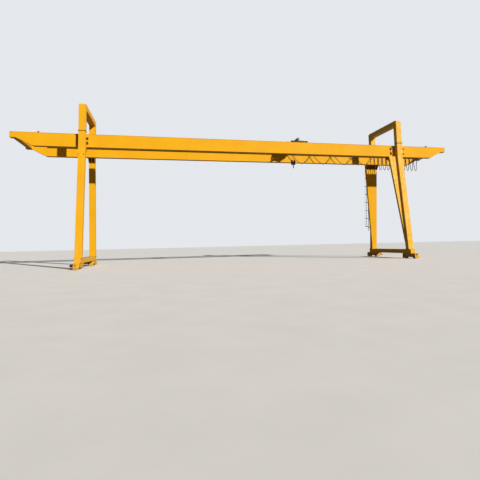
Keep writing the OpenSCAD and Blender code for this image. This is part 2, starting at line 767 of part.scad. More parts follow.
// Drum: two grooved halves between end flanges, a plain middle, and journals that run in the plates
turns = floor((drum_len / 2 - fall_x - turn_pitch) / turn_pitch);
turn_arc = [for (a = [0 : 30 : 180]) [-cos(a), -sin(a)]];
function turn_line(side) = [for (i = [0 : turns - 1]) let(n = side < 0 ? turns - 1 - i : i)
    for (p = turn_arc) [drum_d / 2 + turn_depth * p[1],
        side * (fall_x + n * turn_pitch) + (turn_pitch / 2 - 1) * p[0]]];
module rope_drum() {
    half = drum_len / 2;
    r = drum_d / 2;
    end = bracket_x + 4;
    color(steel) translate([trolley_x, 0, drum_z]) rotate([0, 90, 0]) rotate_extrude() polygon(concat(
        [[0, -end], [journal_d / 2, -end], [journal_d / 2, -half - 20], [drum_out_r, -half - 20],
            [drum_out_r, -half], [r, -half]],
        turn_line(-1), turn_line(1),
        [[r, half], [drum_out_r, half], [drum_out_r, half + 20], [journal_d / 2, half + 20],
            [journal_d / 2, end], [0, end]]));
}

// Gear cases: the hoist's, over the drum's gear and the motor's pinion, and the travel drive's slope
case_t = 170;
case_r = 185;
case_pinion_r = 120;
motor_y = -400;
motor_dz = -20;
case_flange = 18;
// Places on the deck, from the trolley's middle
drive_y = -1500;
drive_x = 70;
drive_h = 390;
slope_left = -490;
slope_right = -80;
slope_h = 336;
slope_w = 160;
module case_outline(grow) {
    gear_at = [0, drum_z];
    pinion_at = [motor_y, drum_z + motor_dz];
    along = pinion_at - gear_at;
    across = [-along[1], along[0]] / norm(along);
    translate(gear_at) circle(r = case_r + grow);
    translate(pinion_at) circle(r = case_pinion_r + grow);
    polygon([gear_at - (case_r + grow) * across, gear_at + (case_r + grow) * across,
        pinion_at + (case_pinion_r + grow) * across, pinion_at - (case_pinion_r + grow) * across]);
}

module gear_case() {
    left = bracket_x + 5;
    color(dark) translate([trolley_x, 0, 0]) union() {
        difference() {
            union() {
                slab_yz(left, case_t) case_outline(0);
                for (x = [left, left + case_t / 2 - case_flange, left + case_t - case_flange])
                    slab_yz(x, case_flange) case_outline(15);
            }
            translate([bracket_x - joining, 0, drum_z]) rotate([0, 90, 0]) cylinder(r = 100, h = 6);
        }
        slab_yz(bracket_x, 5 + joining) translate([0, drum_z]) difference() {
            circle(r = journal_d);
            circle(r = journal_d / 2 + 2);
        }
    }
    color(dark) translate([trolley_x, 0, 0]) slab_xz(drive_y - slope_w / 2, slope_w) polygon([
        [slope_left, deck_z], [slope_right, deck_z], [slope_right, deck_z + slope_h],
        [slope_right - 40, deck_z + slope_h], [slope_left, deck_z + 30]]);
}

// Squirrel-cage motor beside the drum, flanged to the hoist's gear case
hoist_motor_d = 230;
hoist_motor_len = 430;
module hoist_motor() {
    color(white) translate([trolley_x + bracket_x + 5, motor_y, drum_z + motor_dz]) rotate([0, -90, 0])
        motor(hoist_motor_d, hoist_motor_len);
}

// Upright motor of the travel drive, with its terminal box
travel_motor_d = 200;
module travel_motor() {
    color(white) translate([trolley_x + drive_x, drive_y, deck_z]) union() {
        motor(travel_motor_d, drive_h);
        block([travel_motor_d / 2 - 30, -50, drive_h * 0.55], [travel_motor_d / 2 + 50, 50, drive_h * 0.9]);
    }
}

// Cabinet and junction box for the trolley's switchgear, on the deck
cabinet_at = [250, -1600];
cabinet_size = [410, 200, 136];
box_at = [-660, -1560];
box_size = [140, 120, 90];
module control_cabinet() {
    color(white) for (i = [[cabinet_at, cabinet_size], [box_at, box_size]])
        translate([trolley_x + i[0][0], i[0][1], deck_z]) cube(i[1]);
}

// Equalising sheave between two plates that span from beam to beam, under the drum
equal_plate_t = 16;
equal_plate_y = 45;
equal_z = beam_low_z + 40;
module head_sheaves() {
    color(steel) translate([trolley_x, -fall_y, 0]) union() {
        for (s = [-1, 1]) block([-cross_gap / 2, s * equal_plate_y - equal_plate_t / 2, beam_low_z + 6],
            [cross_gap / 2, s * equal_plate_y + equal_plate_t / 2, carriage_top_z - 16]);
        translate([0, 0, equal_z]) rotate([90, 0, 0]) {
            cylinder(d = 70, h = 2 * equal_plate_y, center = true);
            rotate_extrude() sheave_profile(equal_d);
        }
    }
}

// Arm that reaches over the track and down beside it to tow the festoon's first carrier
tow_w = 60;
tow_t = 20;
module tow_arm() {
    post_y = festoon_y - track_w / 2 - 20;
    arm_z = carriage_z + 30;
    color(steel) union() {
        block([first_x - tow_w / 2, post_y - tow_t, arm_z],
            [first_x + tow_w / 2, carriage_in, arm_z + tow_t]);
        block([first_x - tow_w / 2, post_y - tow_t, carrier_z],
            [first_x + tow_w / 2, post_y, arm_z + tow_t]);
        block([first_x - tow_w / 2, post_y - joining, carrier_z],
            [first_x + tow_w / 2, festoon_y - carrier_w / 2 - fit_gap, carrier_z + 20]);
    }
}

// A rope fall from the point a down to the point b, both in the trolley's own X, Y and Z
module rope_fall(a, b) {
    d = a - b;
    translate(b) rotate([-atan2(d[1], d[2]), 0, 0]) cylinder(d = rope_d, h = norm(d), $fn = 16);
}

// Hoist ropes: two falls from the drum to the block's sheaves and two up to the equalising sheave
module hoist_ropes() {
    color(cable) translate([trolley_x, 0, 0]) for (s = [-1, 1]) {
        rope_fall([s * fall_x, drum_side_y, drum_z], [s * fall_x, fall_y, sheave_z]);
        rope_fall([s * fall_x, -fall_y, equal_z], [s * fall_x, -fall_y, sheave_z]);
    }
}

// Half section of a grooved sheave, to be turned about its axis
module sheave_profile(d) {
    polygon([[30, -groove_half], [d / 2, -groove_half], [d / 2 - groove_depth, 0], [d / 2, groove_half],
        [30, groove_half]]);
}

// Hook block: two cheek plates outside the sheaves, and the bored cross head that joins them
cheek_t = 20;
cheek_x = fall_x + groove_half + 22;
head_h = 80;
head_half_y = 80;
cheek_low = 95;
cheek_low_z = hook_z - head_h / 2 - 10;
shank_fit = 3;
module hook_block() {
    color(dark) translate([trolley_x, 0, 0]) union() {
        for (s = [-1, 1]) {
            slab_yz(s * cheek_x - cheek_t / 2, cheek_t) {
                translate([0, sheave_z]) circle(r = sheave_d / 2 + 15);
                polygon([[-sheave_d / 2, sheave_z], [sheave_d / 2, sheave_z], [cheek_low, cheek_low_z],
                    [-cheek_low, cheek_low_z]]);
            }
            translate([s * (cheek_x + cheek_t / 2), 0, sheave_z]) rotate([0, 90, 0])
                cylinder(d = 90, h = 20, center = true);
        }
        difference() {
            block([-cheek_x, -head_half_y, hook_z - head_h / 2],
                [cheek_x, head_half_y, hook_z + head_h / 2]);
            translate([0, 0, hook_z - head_h]) cylinder(d = shank_d + 2 * shank_fit, h = 2 * head_h);
        }
    }
}

module block_sheaves() {
    color(steel) translate([trolley_x, 0, sheave_z]) rotate([0, 90, 0]) union() {
        cylinder(d = 70, h = 2 * cheek_x - cheek_t, center = true);
        for (s = [-1, 1]) translate([0, 0, s * fall_x]) rotate_extrude() sheave_profile(sheave_d);
    }
}

// Hook: a crescent that thins towards its point, a neck, and the shank with its nut on the cross head
hook_turn = 65;
nut_d = 112;
nut_h = 46;
thread_out = 12;
neck_len = 96;
module hook_outline(z) {
    outer_r = hook_r + hook_t * 0.42;
    inner_r = hook_r - hook_t / 2 + 12;
    neck = shank_d * 0.62;
    tip = [0.8 * outer_r, 0.46 * outer_r];
    translate([0, z]) difference() {
        union() {
            translate([0, -hook_t * 0.12]) circle(r = outer_r, $fn = 96);
            translate([-neck, 0]) square([2 * neck, outer_r]);
        }
        circle(r = inner_r, $fn = 96);
        polygon([[neck, 0], [0.94 * inner_r, -0.17 * inner_r], tip, [2 * outer_r, tip[1]],
            [2 * outer_r, 2 * outer_r], [neck, 2 * outer_r]]);
    }
}

module hook() {
    shank_low = hook_z - head_h / 2 - fit_gap;
    bowl_z = shank_low - neck_len - hook_r;
    neck_z = bowl_z + hook_r + hook_t * 0.2;
    color(dark) translate([trolley_x, 0, 0]) rotate(hook_turn) union() {
        slab_xz(-hook_t * 0.36, hook_t * 0.72) hook_outline(bowl_z);
        translate([0, 0, neck_z]) cylinder(d = shank_d * 1.24, h = shank_low - neck_z);
        translate([0, 0, shank_low - joining])
            cylinder(d = shank_d, h = head_h + 2 * fit_gap + nut_h + thread_out + joining);
        translate([0, 0, shank_low + head_h + 2 * fit_gap]) cylinder(d = nut_d, h = nut_h, $fn = 6);
    }
}

girder_near();
girder_far();
end_tie_left();
end_tie_right();
trolley_rails();
rail_stops();
column_near_left();
column_far_left();
column_near_right();
column_far_right();
leg_box_near();
leg_box_far();
saddle_left();
saddle_right();
seats_left();
seats_right();
pads_left();
pads_right();
sill_left();
sill_right();
bogie_near_left();
bogie_far_left();
bogie_near_right();
bogie_far_right();
wheels_left();
wheels_right();
travel_drives();
ladder();
ladder_cage();
festoon_track();
festoon_carriers();
festoon_cable();
trolley_carriages();
trolley_cross_beams();
trolley_wheels();
drum_brackets();
rope_drum();
gear_case();
hoist_motor();
travel_motor();
control_cabinet();
head_sheaves();
tow_arm();
hoist_ropes();
hook_block();
block_sheaves();
hook();
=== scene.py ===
# The looks of a rail-mounted double-girder gantry crane, piece by piece in the order it is put up.
# Metres, X along the girders, Y across them, Z up, the floor at zero.
import math

import bmesh
import bpy
from mathutils import Matrix, Vector


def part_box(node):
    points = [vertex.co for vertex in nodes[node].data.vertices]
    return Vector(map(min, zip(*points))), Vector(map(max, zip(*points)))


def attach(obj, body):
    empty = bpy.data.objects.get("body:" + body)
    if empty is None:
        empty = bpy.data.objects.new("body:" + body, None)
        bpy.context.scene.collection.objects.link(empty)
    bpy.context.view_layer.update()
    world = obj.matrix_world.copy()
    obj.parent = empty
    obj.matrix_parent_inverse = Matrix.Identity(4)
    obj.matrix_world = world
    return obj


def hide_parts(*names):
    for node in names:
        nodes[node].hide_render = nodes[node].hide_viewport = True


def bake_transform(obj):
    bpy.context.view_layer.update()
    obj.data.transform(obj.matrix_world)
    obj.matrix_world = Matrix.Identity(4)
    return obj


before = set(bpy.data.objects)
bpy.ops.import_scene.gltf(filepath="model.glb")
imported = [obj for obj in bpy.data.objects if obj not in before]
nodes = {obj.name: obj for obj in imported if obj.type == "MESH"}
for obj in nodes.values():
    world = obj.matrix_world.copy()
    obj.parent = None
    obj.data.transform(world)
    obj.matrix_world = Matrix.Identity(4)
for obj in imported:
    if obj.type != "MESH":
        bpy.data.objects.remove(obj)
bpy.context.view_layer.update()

# Camera
# It stands at eye level on the ground in front of the crane, left of its middle, and looks up a little.
# The lens is as wide as a telephone's, and the shift keeps the photograph's framing.
scene = bpy.context.scene
FRAME_PX = 480
FOCAL_PX = 367.57
MIDDLE_PX = (240.0, 213.5)
EYE = Vector((-7.978, -32.601, 1.614))
YAW, PITCH, ROLL = 0.21083, 0.08317, -0.02234
SENSOR = 36.0

ahead = Vector((math.sin(YAW) * math.cos(PITCH), math.cos(YAW) * math.cos(PITCH), math.sin(PITCH)))
level_right = Vector((math.cos(YAW), -math.sin(YAW), 0))
level_up = level_right.cross(ahead)
right = math.cos(ROLL) * level_right + math.sin(ROLL) * level_up
upward = -math.sin(ROLL) * level_right + math.cos(ROLL) * level_up
camera_data = bpy.data.cameras.new("camera")
camera = bpy.data.objects.new("camera", camera_data)
scene.collection.objects.link(camera)
turned = Matrix((right, upward, -ahead)).transposed()
camera.matrix_world = Matrix.Translation(EYE) @ turned.to_4x4()
camera_data.sensor_width = SENSOR
camera_data.lens = SENSOR * FOCAL_PX / FRAME_PX
camera_data.shift_x = (FRAME_PX / 2 - MIDDLE_PX[0]) / FRAME_PX
camera_data.shift_y = (MIDDLE_PX[1] - FRAME_PX / 2) / FRAME_PX
camera_data.clip_end = 500
scene.camera = camera
scene.view_settings.view_transform = "Standard"


# Main girders
# Welded box girders of thick plate, sprayed in a dull orange-yellow paint. Dust lies on the webs, water
# has drawn faint streaks from the flanges, and the plate dents a little between its inner stiffeners.
class Value:
    """A shader socket that takes part in Python sums."""

    def __init__(self, tree, socket):
        self.tree, self.socket = tree, socket

    def step(self, operation, other=None, swap=False):
        """A Math node on this value alone, or with another value or number, swap putting that first."""
        terms = {0: other, 1: self} if swap else {0: self, 1: other}
        if other is None:
            terms = {0: self}
        return Value(self.tree, add_node(self.tree, "ShaderNodeMath", {"operation": operation}, terms)[0])

    def __add__(self, other):
        return self.step("ADD", other)

    def __radd__(self, other):
        return self.step("ADD", other, True)

    def __sub__(self, other):
        return self.step("SUBTRACT", other)

    def __rsub__(self, other):
        return self.step("SUBTRACT", other, True)

    def __mul__(self, other):
        return self.step("MULTIPLY", other)

    def __rmul__(self, other):
        return self.step("MULTIPLY", other, True)

    def __pow__(self, other):
        return self.step("POWER", other)

    def __abs__(self):
        return self.step("ABSOLUTE")

    def over(self, other):
        return self.step("GREATER_THAN", other)

    def least(self, other):
        return self.step("MINIMUM", other)

    def most(self, other):
        return self.step("MAXIMUM", other)

    def ramp(self, low, high):
        """0 below low, 1 above high, and smooth between; turned round where low is the larger."""
        mapped = add_node(self.tree, "ShaderNodeMapRange", {"interpolation_type": "SMOOTHSTEP"},
                          {"Value": self, "From Min": min(low, high), "From Max": max(low, high)})
        grown = Value(self.tree, mapped["Result"])
        return grown if low < high else 1 - grown


def feed(tree, socket, value):
    """Links a value to a socket, or sets the socket to a number or a colour."""
    if isinstance(value, Value):
        value = value.socket
    if isinstance(value, bpy.types.NodeSocket):
        tree.links.new(value, socket)
    elif isinstance(value, tuple) and len(value) == 3 and socket.type == "RGBA":
        socket.default_value = (*value, 1)
    else:
        socket.default_value = value


def add_node(tree, kind, settings=None, inputs=None):
    """Any shader node, with its settings and what goes into it; gives back its outputs."""
    node = tree.nodes.new(kind)
    for key, value in (settings or {}).items():
        setattr(node, key, value)
    for key, value in (inputs or {}).items():
        feed(tree, node.inputs[key], value)
    return node.outputs


class Finish:
    """A material and the nodes that colour it."""

    def __init__(self, name):
        self.material = bpy.data.materials.new(name)
        self.material.use_nodes = True
        self.tree = self.material.node_tree
        self.shader = self.tree.nodes["Principled BSDF"]
        self.where = self.add("ShaderNodeTexCoord")["Object"]

    def add(self, kind, settings=None, inputs=None):
        return add_node(self.tree, kind, settings, inputs)

    def set(self, **inputs):
        """Feeds the shader's own sockets and gives back the finished material."""
        for key, value in inputs.items():
            feed(self.tree, self.shader.inputs[key.replace("_", " ")], value)
        return self.material

    def noise(self, scale, detail=3.0, rough=0.55, stretch=None):
        place = self.where
        if stretch:
            place = self.add("ShaderNodeMapping", None, {"Vector": place, "Scale": stretch})["Vector"]
        made = self.add("ShaderNodeTexNoise", {"noise_dimensions": "3D"},
                        {"Vector": place, "Scale": scale, "Detail": detail, "Roughness": rough})
        return Value(self.tree, made["Fac"])

    def parts(self, vector):
        split = self.add("ShaderNodeSeparateXYZ", None, {"Vector": vector})
        return [Value(self.tree, split[axis]) for axis in "XYZ"]

    def axes(self):
        return self.parts(self.where)

    def facing(self):
        return self.parts(self.add("ShaderNodeNewGeometry")["True Normal"])

    def mix(self, share, first, second):
        return self.add("ShaderNodeMix", {"data_type": "RGBA"}, {0: share, 6: first, 7: second})[2]

    def bump(self, height, distance, under=None):
        inputs = {"Height": height, "Distance": distance}
        if under is not None:
            inputs["Normal"] = under
        return self.add("ShaderNodeBump", None, inputs)["Normal"]


PAINT = (0.80, 0.400, 0.006)
PAINT_DEEP = (0.74, 0.345, 0.004)
PAINT_PALE = (0.82, 0.57, 0.16)
DUST = (0.46, 0.32, 0.16)
SOIL = (0.15, 0.075, 0.025)
SEAT_SHADE = (0.105, 0.05, 0.012)
RUST = (0.15, 0.045, 0.014)
PANEL = 2.0
SEAM_HALF = 0.034


def crane_paint(name, dust=0.25, fade=0.0, low_dirt=0.9, soiled=0.85, painted_shade=0.0, shaded_seams=(),
                seat_z=None):
    """Orange-yellow paint: dusty, faded, soiled up to low_dirt, with painted shade on its undersides and
    recesses, under its seat and, with a rust stain, at its seams.
    """
    paint = Finish(name)
    x, y, z = paint.axes()
    up = paint.facing()[2]
    cloud = paint.noise(0.5, 4)
    mottle = paint.noise(4.0, 5, 0.6)
    fine = paint.noise(60.0, 3, 0.6)
    streak = paint.noise(1.0, 4, 0.6, stretch=(7.0, 7.0, 0.22))
    colour = paint.mix(cloud.ramp(0.35, 0.7) * 0.6, PAINT, PAINT_DEEP)
    bleached = (mottle.ramp(0.46, 0.58) * 0.5 + streak.ramp(0.42, 0.6) * 0.3 + 0.15) * fade
    colour = paint.mix(bleached, colour, PAINT_PALE)
    dusty = (streak.ramp(0.52, 0.78) * 0.3 + mottle.ramp(0.55, 0.8) * 0.2) * dust
    dusty = (dusty + up.ramp(0.3, 0.9) * mottle.ramp(0.25, 0.6) * 0.7).least(1.0)
    colour = paint.mix(dusty, colour, DUST)
    # Painted shade: down-facing faces are darkened a little, and a material for recessed parts can be
    # darkened in patches as well.
    painted_underside_shade = up.ramp(-0.3, -0.9) * 0.15 + mottle.ramp(0.2, 0.6) * painted_shade
    colour = paint.mix(painted_underside_shade, colour, SOIL)
    # Painted shade under each flange joint's overhang, with some rust stain: a dark band on either side of
    # the joint.
    for shaded_seam in shaded_seams:
        seam_shade_and_stain = abs(z - shaded_seam).ramp(SEAM_HALF, 0.004) * (mottle.ramp(0.2, 0.6) * 0.2 + 0.8)
        colour = paint.mix(seam_shade_and_stain, colour, SOIL)
    # Painted shade: the inward faces in a band just below the seat are darkened where the girder's shadow
    # and the recess fall.
    if seat_z:
        painted_seat_shade = (paint.facing()[1] * y).ramp(-0.3, -1.2) * z.ramp(seat_z - 0.5, seat_z - 0.4)
        painted_seat_shade = painted_seat_shade * z.ramp(seat_z + 0.02, seat_z) * (mottle.ramp(0.2, 0.6) * 0.15 + 0.8)
        colour = paint.mix(painted_seat_shade, colour, SEAT_SHADE)
    splash = z.ramp(low_dirt, 0.1) * mottle.ramp(0.3, 0.62)
    colour = paint.mix(splash * soiled, colour, SOIL)
    chipped = paint.noise(14.0, 6, 0.7).ramp(0.70, 0.74) * z.ramp(2.6, 0.3)
    colour = paint.mix(chipped, colour, RUST)
    panels = (x * (math.tau / PANEL)).step("SINE") * 0.5 + 0.5
    waves = paint.bump(panels ** 12.0 + cloud * 0.6, 0.003)
    normal = paint.bump(fine * 0.4 + mottle * 0.5 - chipped, 0.0012, waves)
    return paint.set(Base_Color=colour, Roughness=0.50 + dusty * 0.35 + splash * 0.3 + fine * 0.06,
                     Specular_IOR_Level=0.06, Normal=normal)


def finish_node(name, material):
    """Paints a node of the CAD model all over."""
    nodes[name].data.materials.clear()
    nodes[name].data.materials.append(material)


girder_paint = crane_paint("girder_paint", dust=0.2, fade=0.05)
for piece in ("girder_near", "girder_far", "end_tie_left", "end_tie_right"):
    finish_node(piece, girder_paint)


# Trolley rails
# Square steel bars laid on the top flanges and held by stitches of weld on both sides. The bars have
# rusted, and the trolley's wheels keep their running line bright.
def rusty_steel(name, bright_above=None, shade=1.0):
    """Rolled steel, rusted all over, bright above the height bright_above where wheels run."""
    steel = Finish(name)
    z = steel.axes()[2]
    patch = steel.noise(9.0, 5, 0.62)
    grain = steel.noise(90.0, 3, 0.6)
    colour = steel.mix(patch.ramp(0.35, 0.65), (0.11 * shade, 0.075 * shade, 0.055 * shade),
                       (0.20 * shade, 0.105 * shade, 0.055 * shade))
    metal = 0.25 + grain * 0.1
    rough = 0.62 + patch * 0.25
    if bright_above is not None:
        worn = z.over(bright_above)
        colour = steel.mix(worn, colour, (0.42, 0.41, 0.40))
        metal = metal.most(worn * 0.9)
        rough = rough - worn * 0.38
    return steel.set(Base_Color=colour, Metallic=metal, Roughness=rough,
                     Normal=steel.bump(grain * 0.4 + patch * 0.6, 0.0015))


def only(objects):
    """Selects these objects and nothing else, and the first is the active one."""
    bpy.ops.object.select_all(action="DESELECT")
    for item in objects:
        item.select_set(True)
    bpy.context.view_layer.objects.active = objects[0]


def settle(piece):
    """Moves the piece's place, turn and size into its mesh."""
    only([piece])
    bpy.ops.object.transform_apply(location=True, rotation=True, scale=True)
    return piece


def round_edges(made, width, segments=2):
    edges = made.modifiers.new("edges", "BEVEL")
    edges.width, edges.segments, edges.limit_method = width, segments, "ANGLE"
    only([made])
    bpy.ops.object.modifier_apply(modifier=edges.name)


def plate(name, low, high, bevel=0.0, segments=2):
    """A block between two corners, its edges rounded by bevel."""
    bpy.ops.object.select_all(action="DESELECT")
    low, high = Vector(low), Vector(high)
    bpy.ops.mesh.primitive_cube_add(size=1, location=(low + high) / 2)
    made = bpy.context.object
    made.name = name
    made.scale = high - low
    settle(made)
    if bevel:
        round_edges(made, bevel, segments)
    return made


def rod(name, start, end, radius, sides=24, bevel=0.0):
    """A round bar from start to end."""
    bpy.ops.object.select_all(action="DESELECT")
    start, end = Vector(start), Vector(end)
    along = end - start
    bpy.ops.mesh.primitive_cylinder_add(vertices=sides, radius=radius, depth=along.length,
                                        location=(start + end) / 2,
                                        rotation=along.to_track_quat("Z", "Y").to_euler())
    made = bpy.context.object
    made.name = name
    settle(made)
    if bevel:
        round_edges(made, bevel)
    return made


def join(name, parts):
    """One piece out of several parts, all of its faces kept."""
    only(parts)
    if len(parts) > 1:
        bpy.ops.object.join()
    made = bpy.context.object
    made.name = name
    made.data.name = name
    return made


def copies(name, master, places):
    """One mesh that holds the master at each place, and the master itself is used up."""
    whole = bmesh.new()
    for place in places:
        part = bmesh.new()
        part.from_mesh(master.data)
        part.transform(place)
        if place.determinant() < 0:
            bmesh.ops.reverse_faces(part, faces=part.faces)
        kept = bpy.data.meshes.new("part")
        part.to_mesh(kept)
        part.free()
        whole.from_mesh(kept)
        bpy.data.meshes.remove(kept)
    made = bpy.data.objects.new(name, bpy.data.meshes.new(name))
    whole.to_mesh(made.data)
    whole.free()
    scene.collection.objects.link(made)
    bpy.data.objects.remove(master)
    return made


def dress(made, material, body, smooth=35):
    """Gives a finished piece its material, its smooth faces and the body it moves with."""
    made.data.materials.clear()
    made.data.materials.append(material)
    only([made])
    bpy.ops.object.shade_smooth_by_angle(angle=math.radians(smooth))
    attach(made, body)
    return made


def at(x, y, z, turn=0.0, axis="Z"):
    """A place, and a turn about an axis through it."""
    return Matrix.Translation((x, y, z)) @ Matrix.Rotation(turn, 4, axis)


rail_low, rail_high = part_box("trolley_rails")
girder_top = rail_low.z
girder_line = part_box("trolley_wheels")[1].y - 0.05
finish_node("trolley_rails", rusty_steel("rail_steel", rail_high.z - 0.002))
RAIL_HALF = 0.03
WELD_PITCH = 0.5
WELD_LEN = 0.11
weld_steel = rusty_steel("weld_steel", shade=0.7)
weld = rod("rail_weld", (-WELD_LEN / 2, 0, 0), (WELD_LEN / 2, 0, 0), 0.009, 8, 0.003)
weld_places = []
for number in range(int((rail_high.x - rail_low.x) / WELD_PITCH)):
    along = rail_low.x + (number + 0.5) * WELD_PITCH
    for side in (-1, 1):
        for edge in (-1, 1):
            weld_places.append(at(along, side * girder_line + edge * RAIL_HALF, girder_top + 0.003))
dress(copies("rail_welds", weld, weld_places), weld_steel, "gantry")


# Rail end stops
# A gusseted plate stands at each rail end with a ribbed rubber buffer that meets the end carriage.
# The plate is painted like the girder, and the buffer is black and dull.
def rubber(name, colour=(0.022, 0.022, 0.024)):
    """Dull black rubber or plastic with dust in patches."""
    black = Finish(name)
    patch = black.noise(12.0, 4)
    grain = black.noise(160.0, 2)
    tone = black.mix(patch.ramp(0.4, 0.7) * 0.3, colour, (0.16, 0.13, 0.10))
    return black.set(Base_Color=tone, Roughness=0.7 + patch * 0.2, Normal=black.bump(grain, 0.0005))


def buffer_cap(name, length, radius):
    """A ribbed rubber sleeve with a rounded end, along X from 0 to length."""
    parts = [rod(name, (0, 0, 0), (length, 0, 0), radius, 32, 0.006)]
    for share in (0.2, 0.5, 0.8):
        rib = length * share
        parts.append(rod(name, (rib - 0.006, 0, 0), (rib + 0.006, 0, 0), radius + 0.004, 32, 0.003))
    return join(name, parts)


finish_node("rail_stops", girder_paint)
black_rubber = rubber("buffer_rubber")
BUFFER_LEN = 0.09
BUFFER_R = 0.043
STOP_GAP = 0.001
CORNERS = [(end, side) for end in (-1, 1) for side in (-1, 1)]
carriage_low, carriage_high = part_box("trolley_carriages")
buffer_z = (carriage_low.z + carriage_high.z) / 2
stop_face = rail_high.x - BUFFER_LEN - STOP_GAP
buffer_places = []
for end, side in CORNERS:
    buffer_places.append(at(end * stop_face, side * girder_line, buffer_z, 0 if end > 0 else math.pi))
dress(copies("stop_buffers", buffer_cap("stop_buffer", BUFFER_LEN, BUFFER_R), buffer_places),
      black_rubber, "gantry")


# Columns and leg boxes
# Welded box columns that lean out to the track, with a tapered box beside each right-hand one. Their
# foot and head plates are bolted down. Dust and sun have bleached the near right column.
def bolt_through(name, grip, radius=0.016):
    """A bolt with washers along Z, its head above and its nut below, that grips from -grip to grip."""
    parts = []
    for side in (-1, 1):
        parts.append(rod(name, (0, 0, side * grip), (0, 0, side * (grip + 0.003)), radius * 1.25, 16))
        parts.append(rod(name, (0, 0, side * (grip + 0.003)), (0, 0, side * (grip + 0.016)), radius, 6,
                         0.0015))
    parts.append(rod(name, (0, 0, -grip - 0.024), (0, 0, -grip), radius * 0.6, 12))
    return join(name, parts)


column_low, column_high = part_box("column_far_left")
head_z, foot_z = column_high.z, column_low.z
SEAT_Z = 9.6
column_paint = crane_paint("column_paint", dust=0.3, fade=0.1, shaded_seams=(head_z,), seat_z=SEAT_Z)
dusty_column_paint = crane_paint("dusty_column_paint", dust=0.5, fade=0.95, shaded_seams=(head_z,),
                                 seat_z=SEAT_Z)
for piece in ("column_near_left", "column_far_left", "column_far_right", "leg_box_far"):
    finish_node(piece, column_paint)
for piece in ("column_near_right", "leg_box_near"):
    finish_node(piece, dusty_column_paint)

COLUMN_D = 0.415
FLANGE_OVER = 0.034
FLANGE_T = 0.02
BOLT_IN = FLANGE_OVER / 2
HEAD_SHARES = (0.08, 0.36, 0.64, 0.92)
FOOT_SHARES = (0.15, 0.38, 0.62, 0.85)
END_SHARES = (-0.8, -0.4, 0.0, 0.4, 0.8)
dark_bolts = rusty_steel("bolt_steel", shade=0.55)
# the left column is measured, and the others mirror it
post_x = -(column_low.x + column_high.x) / 2
post_half = (column_high.x - column_low.x) / 2
head_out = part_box("saddle_left")[1].y
head_in = head_out - FLANGE_OVER - COLUMN_D
foot_out = column_high.y
foot_in = foot_out - COLUMN_D - 2 * FLANGE_OVER
bolt_places = []
for end, side in CORNERS:
    for edge in (-1, 1):
        along = end * post_x + edge * (post_half - BOLT_IN)
        for share in HEAD_SHARES:
            reach = head_in + share * COLUMN_D
            bolt_places.append(at(along, side * reach, head_z))
        for share in FOOT_SHARES:
            reach = foot_in + share * (foot_out - foot_in)
            bolt_places.append(at(along, side * reach, foot_z))
    for share in END_SHARES:
        along = end * post_x + share * post_half
        bolt_places.append(at(along, side * (head_out - BOLT_IN), head_z))
        bolt_places.append(at(along, side * (foot_out - BOLT_IN), foot_z))
        bolt_places.append(at(along, side * (foot_in + BOLT_IN), foot_z))
dress(copies("flange_bolts", bolt_through("flange_bolt", FLANGE_T), bolt_places), dark_bolts, "gantry")


# Saddles, seats and pads
# The portal saddles are bolted on the columns' heads. The girders rest on gusseted seats, with a pad
# plate between each web and its column, and bolted clamps hold the pads' edges to the webs.
for piece in ("saddle_left", "pads_left", "pads_right"):
    finish_node(piece, column_paint)
# The seats' gussets carry patchy painted shade for the shade that falls in their recess.
seat_paint = crane_paint("seat_paint", dust=0.5, painted_shade=0.85)
for piece in ("seats_left", "seats_right"):
    finish_node(piece, seat_paint)
finish_node("saddle_right", dusty_column_paint)

CLAMP_H, CLAMP_W, CLAMP_T = 0.22, 0.15, 0.026
CLAMP_ON_PAD = 0.095
CLAMP_ZS = {"pads_left": (9.92, 10.28), "pads_right": (9.90, 10.36)}
SMALL_CLAMP = 0.5
PAD_T = 0.024
STUD_X, STUD_LEN = 0.05, 0.02
clamp_parts = [plate("clamp", (0, 0.0005, -CLAMP_H / 2), (CLAMP_W, CLAMP_T, CLAMP_H / 2), 0.004),
               plate("clamp_toe", (0.1, -PAD_T, -CLAMP_H / 2), (CLAMP_W, 0.02, CLAMP_H / 2), 0.003)]
for height in (-0.05, 0.05):
    clamp_parts.append(rod("clamp_stud", (STUD_X, CLAMP_T, height), (STUD_X, CLAMP_T + STUD_LEN, height),
                           0.018, 6, 0.002))
clamp = join("clamp", clamp_parts)
clamp_places = []
for node, heights in CLAMP_ZS.items():
    pad_low, pad_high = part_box(node)
    for side in (-1, 1):
        for edge, mirrored in ((pad_high.x - CLAMP_ON_PAD, 1), (pad_low.x + CLAMP_ON_PAD, -1)):
            size = SMALL_CLAMP if node == "pads_right" and mirrored > 0 else 1.0
            turned = Matrix.Diagonal((mirrored, side, size, 1))
            for height in heights:
                clamp_places.append(at(edge, side * pad_high.y, height) @ turned)
dress(copies("pad_clamps", clamp, clamp_places), rusty_steel("clamp_steel", shade=0.3), "gantry")


# Sills and bogies
# Box sills tie the legs' feet along the track and stand on two-wheel bogies with bolted bearings. Each
# bogie ends in plates that clear the rail, with a rubber buffer outside. Mud has splashed them all.
low_paint = crane_paint("low_paint", dust=0.4, fade=0.4, low_dirt=0.6, soiled=0.25)
for piece in ("sill_left", "sill_right", "bogie_near_left", "bogie_far_left", "bogie_near_right",
              "bogie_far_right"):
    finish_node(piece, low_paint)
wheel_steel = rusty_steel("wheel_steel", shade=0.8)
for piece in ("wheels_left", "wheels_right", "trolley_wheels", "block_sheaves", "head_sheaves"):
    finish_node(piece, wheel_steel)

